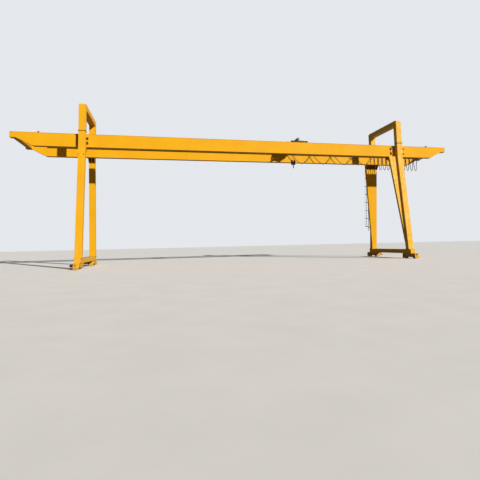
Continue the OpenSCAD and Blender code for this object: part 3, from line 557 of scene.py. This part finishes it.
bogie_low, bogie_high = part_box("bogie_far_right")
bogie_half = (bogie_high.x - bogie_low.x) / 2
axle_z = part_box("wheels_right")[1].z / 2
AXLE_YS = (2.475, 3.525)
CAP_R, CAP_BOLTS, CAP_BOLT_R = 0.045, 6, 0.062
cap_parts = [rod("axle_cap", (0, 0, 0), (0, 0, 0.016), CAP_R, 32, 0.004)]
for number in range(CAP_BOLTS):
    angle = math.tau * number / CAP_BOLTS
    spot = Vector((CAP_BOLT_R * math.cos(angle), CAP_BOLT_R * math.sin(angle), 0))
    cap_parts.append(rod("cap_bolt", spot, spot + Vector((0, 0, 0.012)), 0.011, 6, 0.001))
axle_cap = join("axle_cap", cap_parts)
cap_places = []
for end, side in CORNERS:
    for axle in AXLE_YS:
        for face in (-1, 1):
            driven = axle == AXLE_YS[0] and face == end
            if not driven:
                cap_places.append(at(end * post_x + face * bogie_half, side * axle, axle_z,
                                     face * math.pi / 2, "Y"))
dress(copies("axle_caps", axle_cap, cap_places), dark_bolts, "gantry")

GUARD_HALF, GUARD_LOW_Z, GUARD_TOP_Z = 0.20, 0.03, 0.42
GUARD_T = 0.012
WEB_HALF_T, WEB_LEN, WEB_LOW_Z, WEB_TOP_Z = 0.006, 0.11, 0.20, 0.34
GUARD_BOLT_X, GUARD_BOLT_ZS = 0.12, (0.345, 0.405)
BUFFER_BOSS = 0.109
guard_parts = [plate("guard", (-GUARD_HALF, -0.002, GUARD_LOW_Z), (GUARD_HALF, GUARD_T, GUARD_TOP_Z),
                     0.004)]
for edge in (-1, 1):
    web_x = edge * (bogie_half - 0.009)
    guard_parts.append(plate("guard_web", (web_x - WEB_HALF_T, -WEB_LEN, WEB_LOW_Z),
                             (web_x + WEB_HALF_T, 0.0, WEB_TOP_Z), 0.003))
    for height in GUARD_BOLT_ZS:
        guard_parts.append(rod("guard_bolt", (edge * GUARD_BOLT_X, GUARD_T, height),
                               (edge * GUARD_BOLT_X, GUARD_T + 0.012, height), 0.011, 6, 0.001))
guard = join("guard", guard_parts)
guard_places = []
for end, side in CORNERS:
    for face, reach in ((1, bogie_high.y - BUFFER_BOSS), (-1, bogie_low.y)):
        turned = Matrix.Diagonal((1, side * face, 1, 1))
        guard_places.append(at(end * post_x, side * reach, 0) @ turned)
dress(copies("rail_guards", guard, guard_places), low_paint, "gantry")

BOGIE_BUFFER_LEN, BOGIE_BUFFER_R = 0.084, 0.05
end_buffer_places = []
for end, side in CORNERS:
    end_buffer_places.append(at(end * post_x, side * (bogie_high.y - BOGIE_BUFFER_LEN - STOP_GAP),
                                bogie_high.z - 0.07, side * math.pi / 2))
dress(copies("bogie_buffers", buffer_cap("bogie_buffer", BOGIE_BUFFER_LEN, BOGIE_BUFFER_R),
             end_buffer_places), black_rubber, "gantry")


# Travel drives
# A geared motor drives the inner axle of each bogie. Case and motor are painted like the crane and
# dusty, with a dark terminal box on top and a wire grille on the fan's cowl.
def machine_paint(name, colour=(0.035, 0.04, 0.045), dust=0.35):
    """Enamel on machinery: dusty in patches and on top, chipped to rust in places."""
    enamel = Finish(name)
    patch = enamel.noise(7.0, 5, 0.6)
    fine = enamel.noise(70.0, 3)
    up = enamel.facing()[2]
    dusty = (patch.ramp(0.45, 0.75) * dust + up.ramp(0.4, 1.0) * dust).least(1.0)
    tone = enamel.mix(dusty, colour, (0.25, 0.20, 0.15))
    chipped = enamel.noise(22.0, 6, 0.7).ramp(0.70, 0.75)
    tone = enamel.mix(chipped, tone, RUST)
    return enamel.set(Base_Color=tone, Roughness=0.58 + dusty * 0.3, Specular_IOR_Level=0.12,
                      Normal=enamel.bump(fine * 0.5 + patch * 0.5 - chipped, 0.001))


dark_enamel = machine_paint("dark_enamel")
finish_node("travel_drives", low_paint)
finish_node("hook_block", dark_enamel)
DRIVE_Z = 0.25
MOTOR_R = 0.095
BOX_IN = 0.25
GRILLE_RINGS, GRILLE_R, WIRE_R, SPOKES = (0.02, 0.045, 0.07), 0.078, 0.003, 3
motor_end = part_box("travel_drives")[1].x
box_parts = [plate("terminal_box", (-0.055, -0.06, 0), (0.055, 0.06, 0.075), 0.006),
             plate("terminal_lid", (-0.058, -0.063, 0.075), (0.058, 0.063, 0.085), 0.003),
             rod("cable_gland", (0.0, 0.06, 0.03), (0.0, 0.09, 0.03), 0.014, 12, 0.002)]
terminal_box = join("terminal_box", box_parts)
box_places = []
for end, side in CORNERS:
    box_places.append(at(end * (motor_end - BOX_IN), side * AXLE_YS[0], DRIVE_Z + MOTOR_R - 0.012))
dress(copies("terminal_boxes", terminal_box, box_places), dark_enamel, "gantry")
grille_parts = []
for radius in GRILLE_RINGS:
    bpy.ops.object.select_all(action="DESELECT")
    bpy.ops.mesh.primitive_torus_add(major_radius=radius, minor_radius=WIRE_R, major_segments=32,
                                     minor_segments=6)
    grille_parts.append(settle(bpy.context.object))
for number in range(SPOKES):
    angle = number * math.pi / SPOKES
    spoke = Vector((GRILLE_R * math.cos(angle), GRILLE_R * math.sin(angle), 0))
    grille_parts.append(rod("spoke", -spoke, spoke, WIRE_R, 6))
grille = join("fan_grille", grille_parts)
grille_places = []
for end, side in CORNERS:
    grille_places.append(at(end * (motor_end - 0.001), side * AXLE_YS[0], DRIVE_Z, math.pi / 2, "Y"))
dress(copies("fan_grilles", grille, grille_places), dark_bolts, "gantry")


# Ladder and cage
# A welded steel ladder with hoops and straps climbs the far right column on cleats. The sections are
# dull and dark, with rust in patches, and bolts hold the straps to the hoops.
dark_steel = rusty_steel("dark_section_steel", shade=0.42)
for piece in ("ladder", "ladder_cage"):
    finish_node(piece, dark_steel)
cage_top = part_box("ladder_cage")[1].z
LEAN = math.atan2(0.786, 8.66)
FACE_AT_BASE = 2.745
LADDER_X = post_x - 0.14
LADDER_OFF, STILE_HALF, CAGE_DEPTH, CAGE_R = 0.18, 0.03, 0.70, 0.34
CAGE_AXIS_Y = LADDER_OFF + STILE_HALF + CAGE_DEPTH - CAGE_R
LOW_HOOP_Z, HOOPS, HOOP_PITCH = 3.1, 8, 0.87
STRAP_ANGLES = (20, 90, 160)
in_lean = (at(LADDER_X, FACE_AT_BASE, foot_z) @ Matrix.Rotation(LEAN, 4, "X")
           @ Matrix.Translation((0, COLUMN_D * math.cos(LEAN), 0)))
first_hoop = (LOW_HOOP_Z - foot_z) / math.cos(LEAN)
strap_bolt = rod("strap_bolt", (0, -0.006, 0), (0, 0.008, 0), 0.010, 6, 0.001)
strap_places = []
for number in range(HOOPS):
    for angle in STRAP_ANGLES:
        turn = math.radians(angle)
        spot = Matrix.Translation((CAGE_R * math.cos(turn), CAGE_AXIS_Y + CAGE_R * math.sin(turn),
                                   first_hoop + number * HOOP_PITCH + 0.02))
        place = in_lean @ spot @ Matrix.Rotation(turn - math.pi / 2, 4, "Z")
        if place.translation.z < cage_top:
            strap_places.append(place)
dress(copies("strap_bolts", strap_bolt, strap_places), dark_bolts, "gantry")


# Festoon
# Three flat black rubber cables, laid on each other, hang in loops from roller carriers in a slotted
# steel track. The loops near the trolley hang open and the others are bunched at the right, at the supply.
def flat_band(name, line, width, thick):
    """A flat cable with rounded edges along a line of points, its width along Y."""
    points = []
    for point in line:
        for side in (-0.5, 0.5):
            points.append(Vector(point) + Vector((0, side * width, 0)))
    faces = []
    for step in range(len(line) - 1):
        faces.append((2 * step, 2 * step + 1, 2 * step + 3, 2 * step + 2))
    mesh = bpy.data.meshes.new(name)
    mesh.from_pydata(points, [], faces)
    made = bpy.data.objects.new(name, mesh)
    scene.collection.objects.link(made)
    thicken = made.modifiers.new("thicken", "SOLIDIFY")
    thicken.thickness, thicken.offset = thick, 0
    only([made])
    bpy.ops.object.modifier_apply(modifier=thicken.name)
    round_edges(made, thick * 0.3)
    bpy.ops.object.mode_set(mode="EDIT")
    bpy.ops.mesh.select_all(action="SELECT")
    bpy.ops.mesh.normals_make_consistent(inside=False)
    bpy.ops.object.mode_set(mode="OBJECT")
    return made


def share_of(weight):
    """Where a smooth step from 0 to 1 reaches the weight."""
    return 0.5 - math.sin(math.asin(1 - 2 * weight) / 3)


finish_node("festoon_track", dark_steel)
finish_node("tow_arm", dark_steel)
carrier_low, carrier_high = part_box("festoon_carriers")
CARRIER_Z = carrier_low.z
FESTOON_Y = 1.2
CARRIER_HALF = 0.035
FIRST_X = carrier_low.x + CARRIER_HALF
LAST_X = carrier_high.x - CARRIER_HALF
OPEN_LOOPS, BUNCHED, BUNCH_PITCH = 4, 11, 0.46
BUNCH_X = LAST_X - BUNCHED * BUNCH_PITCH
OPEN_PITCH = (BUNCH_X - FIRST_X) / OPEN_LOOPS
LOOP_LEN, STUB, CABLE_T, CABLE_W = 3.15, 0.04, 0.016, 0.04
CABLES, CABLE_GAP = 3, 0.001
CABLE_IN = CABLE_T / 2 + 0.002
UNDER_CLAMP = 0.0005
SLACK = 0.95
CLAMP_HALF = CABLE_IN + (CABLES - 1) * (CABLE_T + CABLE_GAP) + CABLE_T / 2
TRAVEL_RIGHT = 12.26
LOOP_STEPS = 28
carrier_xs = [FIRST_X + number * OPEN_PITCH for number in range(OPEN_LOOPS)]
carrier_xs += [BUNCH_X + number * BUNCH_PITCH for number in range(BUNCHED + 1)]
tight_pitch = (LAST_X - FIRST_X - TRAVEL_RIGHT) / (len(carrier_xs) - 1)
# A carrier's weight is its share of the trolley's travel. The first goes all the way, the last stands
# still, and the others come evenly together at the right limit.
weights = []
for number, x in enumerate(carrier_xs):
    weights.append((FIRST_X + TRAVEL_RIGHT + number * tight_pitch - x) / TRAVEL_RIGHT)
weights = [min(1.0, max(0.0, weight)) for weight in weights]
cable_rubber = rubber("cable_rubber", (0.020, 0.024, 0.032))
carrier_plastic = rubber("carrier_plastic", (0.030, 0.030, 0.034))
for number, x in enumerate(carrier_xs[:-1]):
    low_x, high_x = x + CABLE_IN, carrier_xs[number + 1] - CABLE_IN
    pitch = high_x - low_x
    depth = SLACK * math.sqrt((LOOP_LEN / 2) ** 2 - (pitch / 2) ** 2)
    # a wide loop hangs like a soft V, and a bunched one like a U
    power = 1.25 + 1.6 * BUNCH_PITCH / pitch
    cables = []
    for layer in range(CABLES):
        inward = layer * (CABLE_T + CABLE_GAP)
        line = [(low_x + inward, FESTOON_Y, CARRIER_Z - UNDER_CLAMP)]
        for step in range(LOOP_STEPS + 1):
            u = -math.cos(math.pi * step / LOOP_STEPS)
            sag = (depth - STUB - inward) * (1 - abs(u) ** power)
            along = low_x + inward + (pitch / 2 - inward) * (1 + u)
            line.append((along, FESTOON_Y, CARRIER_Z - STUB - sag))
        line.append((high_x - inward, FESTOON_Y, CARRIER_Z - UNDER_CLAMP))
        cables.append(flat_band("cable", line, CABLE_W, CABLE_T))
    loop = join(f"festoon_loop_{number + 1}", cables)
    loop.data.materials.clear()
    loop.data.materials.append(cable_rubber)
    only([loop])
    bpy.ops.object.shade_smooth_by_angle(angle=math.radians(40))
    left, far_right = share_of(weights[number]), share_of(weights[number + 1])
    reach = (low_x - high_x) / (left - far_right)
    start_x = high_x - far_right * reach
    start_x + reach
    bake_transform(loop)
    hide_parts("festoon_cable")

for number, x in enumerate(carrier_xs):
    parts = [plate("clamp", (x - CLAMP_HALF, FESTOON_Y - 0.022, CARRIER_Z),
                   (x + CLAMP_HALF, FESTOON_Y + 0.022, CARRIER_Z + 0.026), 0.005),
             plate("stem", (x - CARRIER_HALF, FESTOON_Y - 0.004, CARRIER_Z + 0.02),
                   (x + CARRIER_HALF, FESTOON_Y + 0.004, CARRIER_Z + 0.08), 0.002)]
    for side in (-1, 1):
        hub = (x + side * 0.02, FESTOON_Y - 0.018, CARRIER_Z + 0.0805)
        parts.append(rod("roller", hub, (hub[0], FESTOON_Y + 0.018, hub[2]), 0.015, 20, 0.002))
        nut = (x + side * 0.022, FESTOON_Y, CARRIER_Z + 0.026)
        parts.append(rod("nut", nut, (nut[0], nut[1], nut[2] + 0.004), 0.008, 6, 0.001))
    carrier = join(f"festoon_carrier_{number + 1}", parts)
    carrier.data.materials.clear()
    carrier.data.materials.append(carrier_plastic)
    share = share_of(weights[number])
    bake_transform(carrier)
    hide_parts("festoon_carriers")


# Trolley frame
# End carriages, cross beams and the drum's frame are welded and painted dark, with dust on top and
# chips down to rust. Hexagon bolts hold the drum's bars down on the beams.
frame_enamel = machine_paint("frame_enamel", (0.022, 0.022, 0.024), 0.2)
for piece in ("trolley_carriages", "trolley_cross_beams", "drum_brackets"):
    finish_node(piece, frame_enamel)
TROLLEY_X = (carriage_low.x + carriage_high.x) / 2
frame_top = carriage_high.z
BAR_H, BAR_Y, BEAM_X = 0.06, 0.25, 0.4
CARRIAGE_Y, CARRIAGE_BOLT_XS = 1.74, (0.72, 0.54)
bolt_head = rod("bolt_head", (0, 0, -0.002), (0, 0, 0.014), 0.015, 6, 0.0015)
head_places = []
for end, side in CORNERS:
    for offset in (-0.035, 0.035):
        for across in (-0.018, 0.018):
            head_places.append(at(TROLLEY_X + end * BEAM_X + offset, side * BAR_Y + across,
                                  frame_top + BAR_H))
    for along in CARRIAGE_BOLT_XS:
        for across in (-0.04, 0.04):
            head_places.append(at(TROLLEY_X + end * along, side * CARRIAGE_Y + across, frame_top))
dress(copies("frame_bolts", bolt_head, head_places), dark_bolts, "trolley")


# Rope drum and its rope
# A steel drum with a grooved half each way, greased and dusty. The wire rope is wound on both halves,
# from near the flanges in to the two falls.
drum = Finish("drum_steel")
grease = drum.noise(6.0, 4)
grit = drum.noise(80.0, 3)
drum_tone = drum.mix(grease.ramp(0.4, 0.65), (0.10, 0.085, 0.07), (0.19, 0.17, 0.15))
drum.set(Base_Color=drum_tone, Metallic=0.7, Roughness=0.4 + grease * 0.3,
         Normal=drum.bump(grit, 0.0008))
finish_node("rope_drum", drum.material)


def wire_rope(name, tight):
    """Greased strands; tight is how many radians of their lay pass in a metre."""
    wire = Finish(name)
    x, y, z = wire.axes()
    lay = ((z + x * 0.7 + y * 0.7) * tight).step("SINE") * 0.5 + 0.5
    grease = wire.noise(5.0, 4)
    tone = wire.mix(lay * 0.5 + 0.2, (0.030, 0.026, 0.022), (0.11, 0.105, 0.10))
    tone = wire.mix(grease.ramp(0.45, 0.7) * 0.5, tone, (0.05, 0.035, 0.02))
    return wire.set(Base_Color=tone, Metallic=0.55, Roughness=0.4 + grease * 0.25,
                    Normal=wire.bump(lay, 0.002))


rope_steel = wire_rope("wire_rope", 420.0)
drum_low, drum_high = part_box("rope_drum")
DRUM_Z = (drum_low.z + drum_high.z) / 2
DRUM_R, ROPE_R, FALL_X, TURN_PITCH, GRIP = 0.18, 0.008, 0.113, 0.019, 0.001
DRUM_HALF = 0.52
TURN_STEPS = 24
wound = []
turns = int((DRUM_HALF - FALL_X - TURN_PITCH) / TURN_PITCH)
for side in (-1, 1):
    curve = bpy.data.curves.new("wound_rope", "CURVE")
    curve.dimensions = "3D"
    curve.bevel_depth = ROPE_R
    curve.bevel_resolution = 2
    steps = turns * TURN_STEPS
    spline = curve.splines.new("POLY")
    spline.points.add(steps)
    for step in range(steps + 1):
        angle = math.tau * step / TURN_STEPS
        radius = DRUM_R + ROPE_R - GRIP
        along = TROLLEY_X + side * (FALL_X + TURN_PITCH * step / TURN_STEPS)
        place = (along, radius * math.cos(angle), DRUM_Z + radius * math.sin(angle), 1)
        spline.points[step].co = place
    coil = bpy.data.objects.new("wound_rope", curve)
    scene.collection.objects.link(coil)
    only([coil])
    bpy.ops.object.convert(target="MESH")
    wound.append(bpy.context.object)
dress(join("wound_ropes", wound), rope_steel, "trolley", 60)


# Gear case, motors and cabinets
# A cast gear case with a bolted joint drives the drum from a finned grey motor with a terminal box. An
# upright motor turns the wheels, and pressed steel cabinets with doors hold the switchgear.
finish_node("gear_case", machine_paint("case_enamel", (0.004, 0.004, 0.006), 0.02))
motor_grey = machine_paint("motor_grey", (0.70, 0.71, 0.70), 0.12)
for piece in ("hoist_motor", "travel_motor"):
    finish_node(piece, motor_grey)
cabinet_grey = machine_paint("cabinet_grey", (0.70, 0.71, 0.70), 0.2)
finish_node("control_cabinet", cabinet_grey)
CASE_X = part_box("gear_case")[1].x
PINION_Y, PINION_Z = -0.40, DRUM_Z - 0.02
GEAR_BOLTS, GEAR_BOLT_R, GEAR_ARC = 10, 0.189, 1.25
PINION_BOLTS, PINION_BOLT_R, PINION_ARC = 7, 0.122, 0.95
case_places = []
for number in range(GEAR_BOLTS):
    angle = math.pi * (number / (GEAR_BOLTS - 1) - 0.5) * GEAR_ARC
    case_places.append(at(CASE_X, GEAR_BOLT_R * math.cos(angle), DRUM_Z + GEAR_BOLT_R * math.sin(angle),
                          math.pi / 2, "Y"))
for number in range(PINION_BOLTS):
    angle = math.pi * (1 + (number / (PINION_BOLTS - 1) - 0.5) * PINION_ARC)
    case_places.append(at(CASE_X, PINION_Y + PINION_BOLT_R * math.cos(angle),
                          PINION_Z + PINION_BOLT_R * math.sin(angle), math.pi / 2, "Y"))
case_bolt = rod("case_bolt", (0, 0, -0.003), (0, 0, 0.009), 0.009, 6, 0.001)
dress(copies("case_bolts", case_bolt, case_places), dark_bolts, "trolley")
shaft_parts = [rod("shaft_cap", (CASE_X - 0.002, 0, DRUM_Z), (CASE_X + 0.014, 0, DRUM_Z), 0.075, 40, 0.004),
               rod("shaft_cap", (CASE_X - 0.002, PINION_Y, PINION_Z),
                   (CASE_X + 0.010, PINION_Y, PINION_Z), 0.045, 32, 0.003)]
dress(join("shaft_caps", shaft_parts), dark_enamel, "trolley")

cabinet_low, cabinet_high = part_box("control_cabinet")
FRONT_Y, BACK_Y, DECK_Z = cabinet_low.y, cabinet_high.y, cabinet_low.z
DOOR_X = (TROLLEY_X + 0.25, TROLLEY_X + 0.66)
DOOR_W, DOOR_PITCH, LATCH_PITCH = 0.193, 0.201, 0.04
LOUVRES, LOUVRE_PITCH = 5, 0.010
door_parts = []
for number in range(2):
    low_x = DOOR_X[0] + 0.008 + number * DOOR_PITCH
    door_parts.append(plate("door", (low_x, FRONT_Y - 0.004, DECK_Z + 0.010),
                            (low_x + DOOR_W, FRONT_Y + 0.002, DECK_Z + 0.126), 0.002))
door_parts.append(plate("roof", (DOOR_X[0] - 0.002, FRONT_Y - 0.006, DECK_Z + 0.134),
                        (DOOR_X[1] + 0.002, BACK_Y + 0.002, DECK_Z + 0.140), 0.002))
door_parts.append(plate("lid", (TROLLEY_X - 0.662, -1.562, DECK_Z + 0.086),
                        (TROLLEY_X - 0.518, -1.438, DECK_Z + 0.093), 0.002))
dress(join("cabinet_doors", door_parts), cabinet_grey, "trolley")
latch_parts = []
for number in range(2):
    latch_x = DOOR_X[0] + 0.185 + number * LATCH_PITCH
    latch_parts.append(rod("latch", (latch_x, FRONT_Y - 0.010, DECK_Z + 0.07),
                           (latch_x, FRONT_Y - 0.003, DECK_Z + 0.07), 0.008, 16, 0.001))
for number in range(LOUVRES):
    height = DECK_Z + 0.040 + number * LOUVRE_PITCH
    latch_parts.append(plate("louvre", (DOOR_X[0] + 0.05, FRONT_Y - 0.007, height),
                             (DOOR_X[0] + 0.12, FRONT_Y - 0.003, height + 0.004), 0.001))
dress(join("cabinet_latches", latch_parts), black_rubber, "trolley")

motor_low, motor_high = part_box("hoist_motor")
on_motor = Vector((motor_low.x + 0.19, PINION_Y, motor_high.z - 0.018))
hoist_box = [plate("motor_box", on_motor + Vector((-0.06, -0.055, 0)),
                   on_motor + Vector((0.06, 0.055, 0.057)), 0.006),
             plate("motor_lid", on_motor + Vector((-0.065, -0.06, 0.057)),
                   on_motor + Vector((0.065, 0.06, 0.066)), 0.003)]
dress(join("motor_box", hoist_box), motor_grey, "trolley")


# Hoist ropes
# Two falls come off the drum, pass the block's sheaves and go up to the equalising sheave. They are steel
# wire, dark with grease.
sheave_low, sheave_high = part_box("block_sheaves")
SHEAVE_Z = (sheave_low.z + sheave_high.z) / 2
EQUAL_Z = 10.71
FALL_Y, DRUM_SIDE_Y = 0.173, 0.184
ROPE_STEPS = 32
fall_parts = []
for side in (-1, 1):
    for top_y, top_z, low_y in ((DRUM_SIDE_Y, DRUM_Z, FALL_Y), (-FALL_Y, EQUAL_Z, -FALL_Y)):
        top = Vector((TROLLEY_X + side * FALL_X, top_y, top_z))
        bottom = Vector((TROLLEY_X + side * FALL_X, low_y, SHEAVE_Z))
        for step in range(ROPE_STEPS):
            upper = top.lerp(bottom, step / ROPE_STEPS)
            lower = top.lerp(bottom, (step + 1) / ROPE_STEPS)
            fall_parts.append(rod("fall", upper, lower, ROPE_R, 12))
falls = join("rope_falls", fall_parts)
bpy.ops.object.mode_set(mode="EDIT")
bpy.ops.mesh.select_all(action="SELECT")
bpy.ops.mesh.remove_doubles(threshold=0.0004)
bpy.ops.object.mode_set(mode="OBJECT")
falls.data.materials.clear()
falls.data.materials.append(rope_steel)
only([falls])
bpy.ops.object.shade_smooth_by_angle(angle=math.radians(60))
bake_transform(falls)
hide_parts("hoist_ropes")


# Hook block
# Two thick cheek plates carry the sheaves and the cross head. Pin plates and bolts hold the axle on
# both sides, and the dark enamel is dusty and chipped in places.
CHEEK_X, KEEPER_T, CROSS_HEAD_Z = 0.167, 0.008, 9.06
keeper_parts = []
for side in (-1, 1):
    face = TROLLEY_X + side * CHEEK_X
    outer = face + side * KEEPER_T
    keeper_parts.append(plate("keeper", (min(face, outer), -0.035, SHEAVE_Z + 0.050),
                              (max(face, outer), 0.035, SHEAVE_Z + 0.080), 0.002))
    for spot in (-0.022, 0.022):
        keeper_parts.append(rod("keeper_bolt", (face + side * 0.007, spot, SHEAVE_Z + 0.065),
                                (face + side * 0.018, spot, SHEAVE_Z + 0.065), 0.009, 6, 0.001))
    for spot in (-0.055, 0.055):
        keeper_parts.append(rod("head_bolt", (face - side * 0.002, spot, CROSS_HEAD_Z),
                                (face + side * 0.012, spot, CROSS_HEAD_Z), 0.014, 6, 0.0015))
dress(join("block_bolts", keeper_parts), dark_bolts, "block")
finish_node("hook", machine_paint("hook_enamel", (0.045, 0.040, 0.036), 0.25))


# Floor and light
# A plain pale floor that runs out of sight, a low sun from the front right and a pale sky.
# Only what the camera and the reflections see of the floor and sky is this pale.
def seen_share(tree):
    """1 where the camera, a reflection or glass sees the surface itself, and 0 for its light."""
    ray = add_node(tree, "ShaderNodeLightPath")
    seen = Value(tree, ray["Is Camera Ray"])
    for kind in ("Is Glossy Ray", "Is Transmission Ray"):
        seen = seen.most(Value(tree, ray[kind]))
    return seen


FLOOR_REACH = 240.0
bpy.ops.object.select_all(action="DESELECT")
bpy.ops.mesh.primitive_grid_add(x_subdivisions=8, y_subdivisions=8, size=2 * FLOOR_REACH)
floor = bpy.context.object
floor.name = "floor"
ground = Finish("pale_floor")
seen = seen_share(ground.tree)
grit = ground.noise(0.8, 4)
pale = ground.mix(grit.ramp(0.3, 0.7), (0.90, 0.89, 0.87), (0.94, 0.93, 0.91))
ground.set(Base_Color=ground.mix(seen, (0.13, 0.115, 0.095), pale), Roughness=0.9)
floor.data.materials.append(ground.material)

TO_SUN = Vector((0.65, -1.0, 0.55)).normalized()
sun_data = bpy.data.lights.new("sun", "SUN")
sun_data.energy = 4.5
sun_data.angle = math.radians(1.2)
sun_data.color = (1.0, 0.955, 0.90)
sun = bpy.data.objects.new("sun", sun_data)
sun.rotation_euler = TO_SUN.to_track_quat("Z", "Y").to_euler()
scene.collection.objects.link(sun)

sky = bpy.data.worlds.new("sky")
scene.world = sky
sky.use_nodes = True
backdrop = sky.node_tree.nodes["Background"]
SKY_LIGHT, SKY_SEEN = 0.09, 0.75
feed(sky.node_tree, backdrop.inputs["Strength"], SKY_LIGHT + seen_share(sky.node_tree) * SKY_SEEN)
feed(sky.node_tree, backdrop.inputs["Color"], (0.93, 0.96, 1.0))
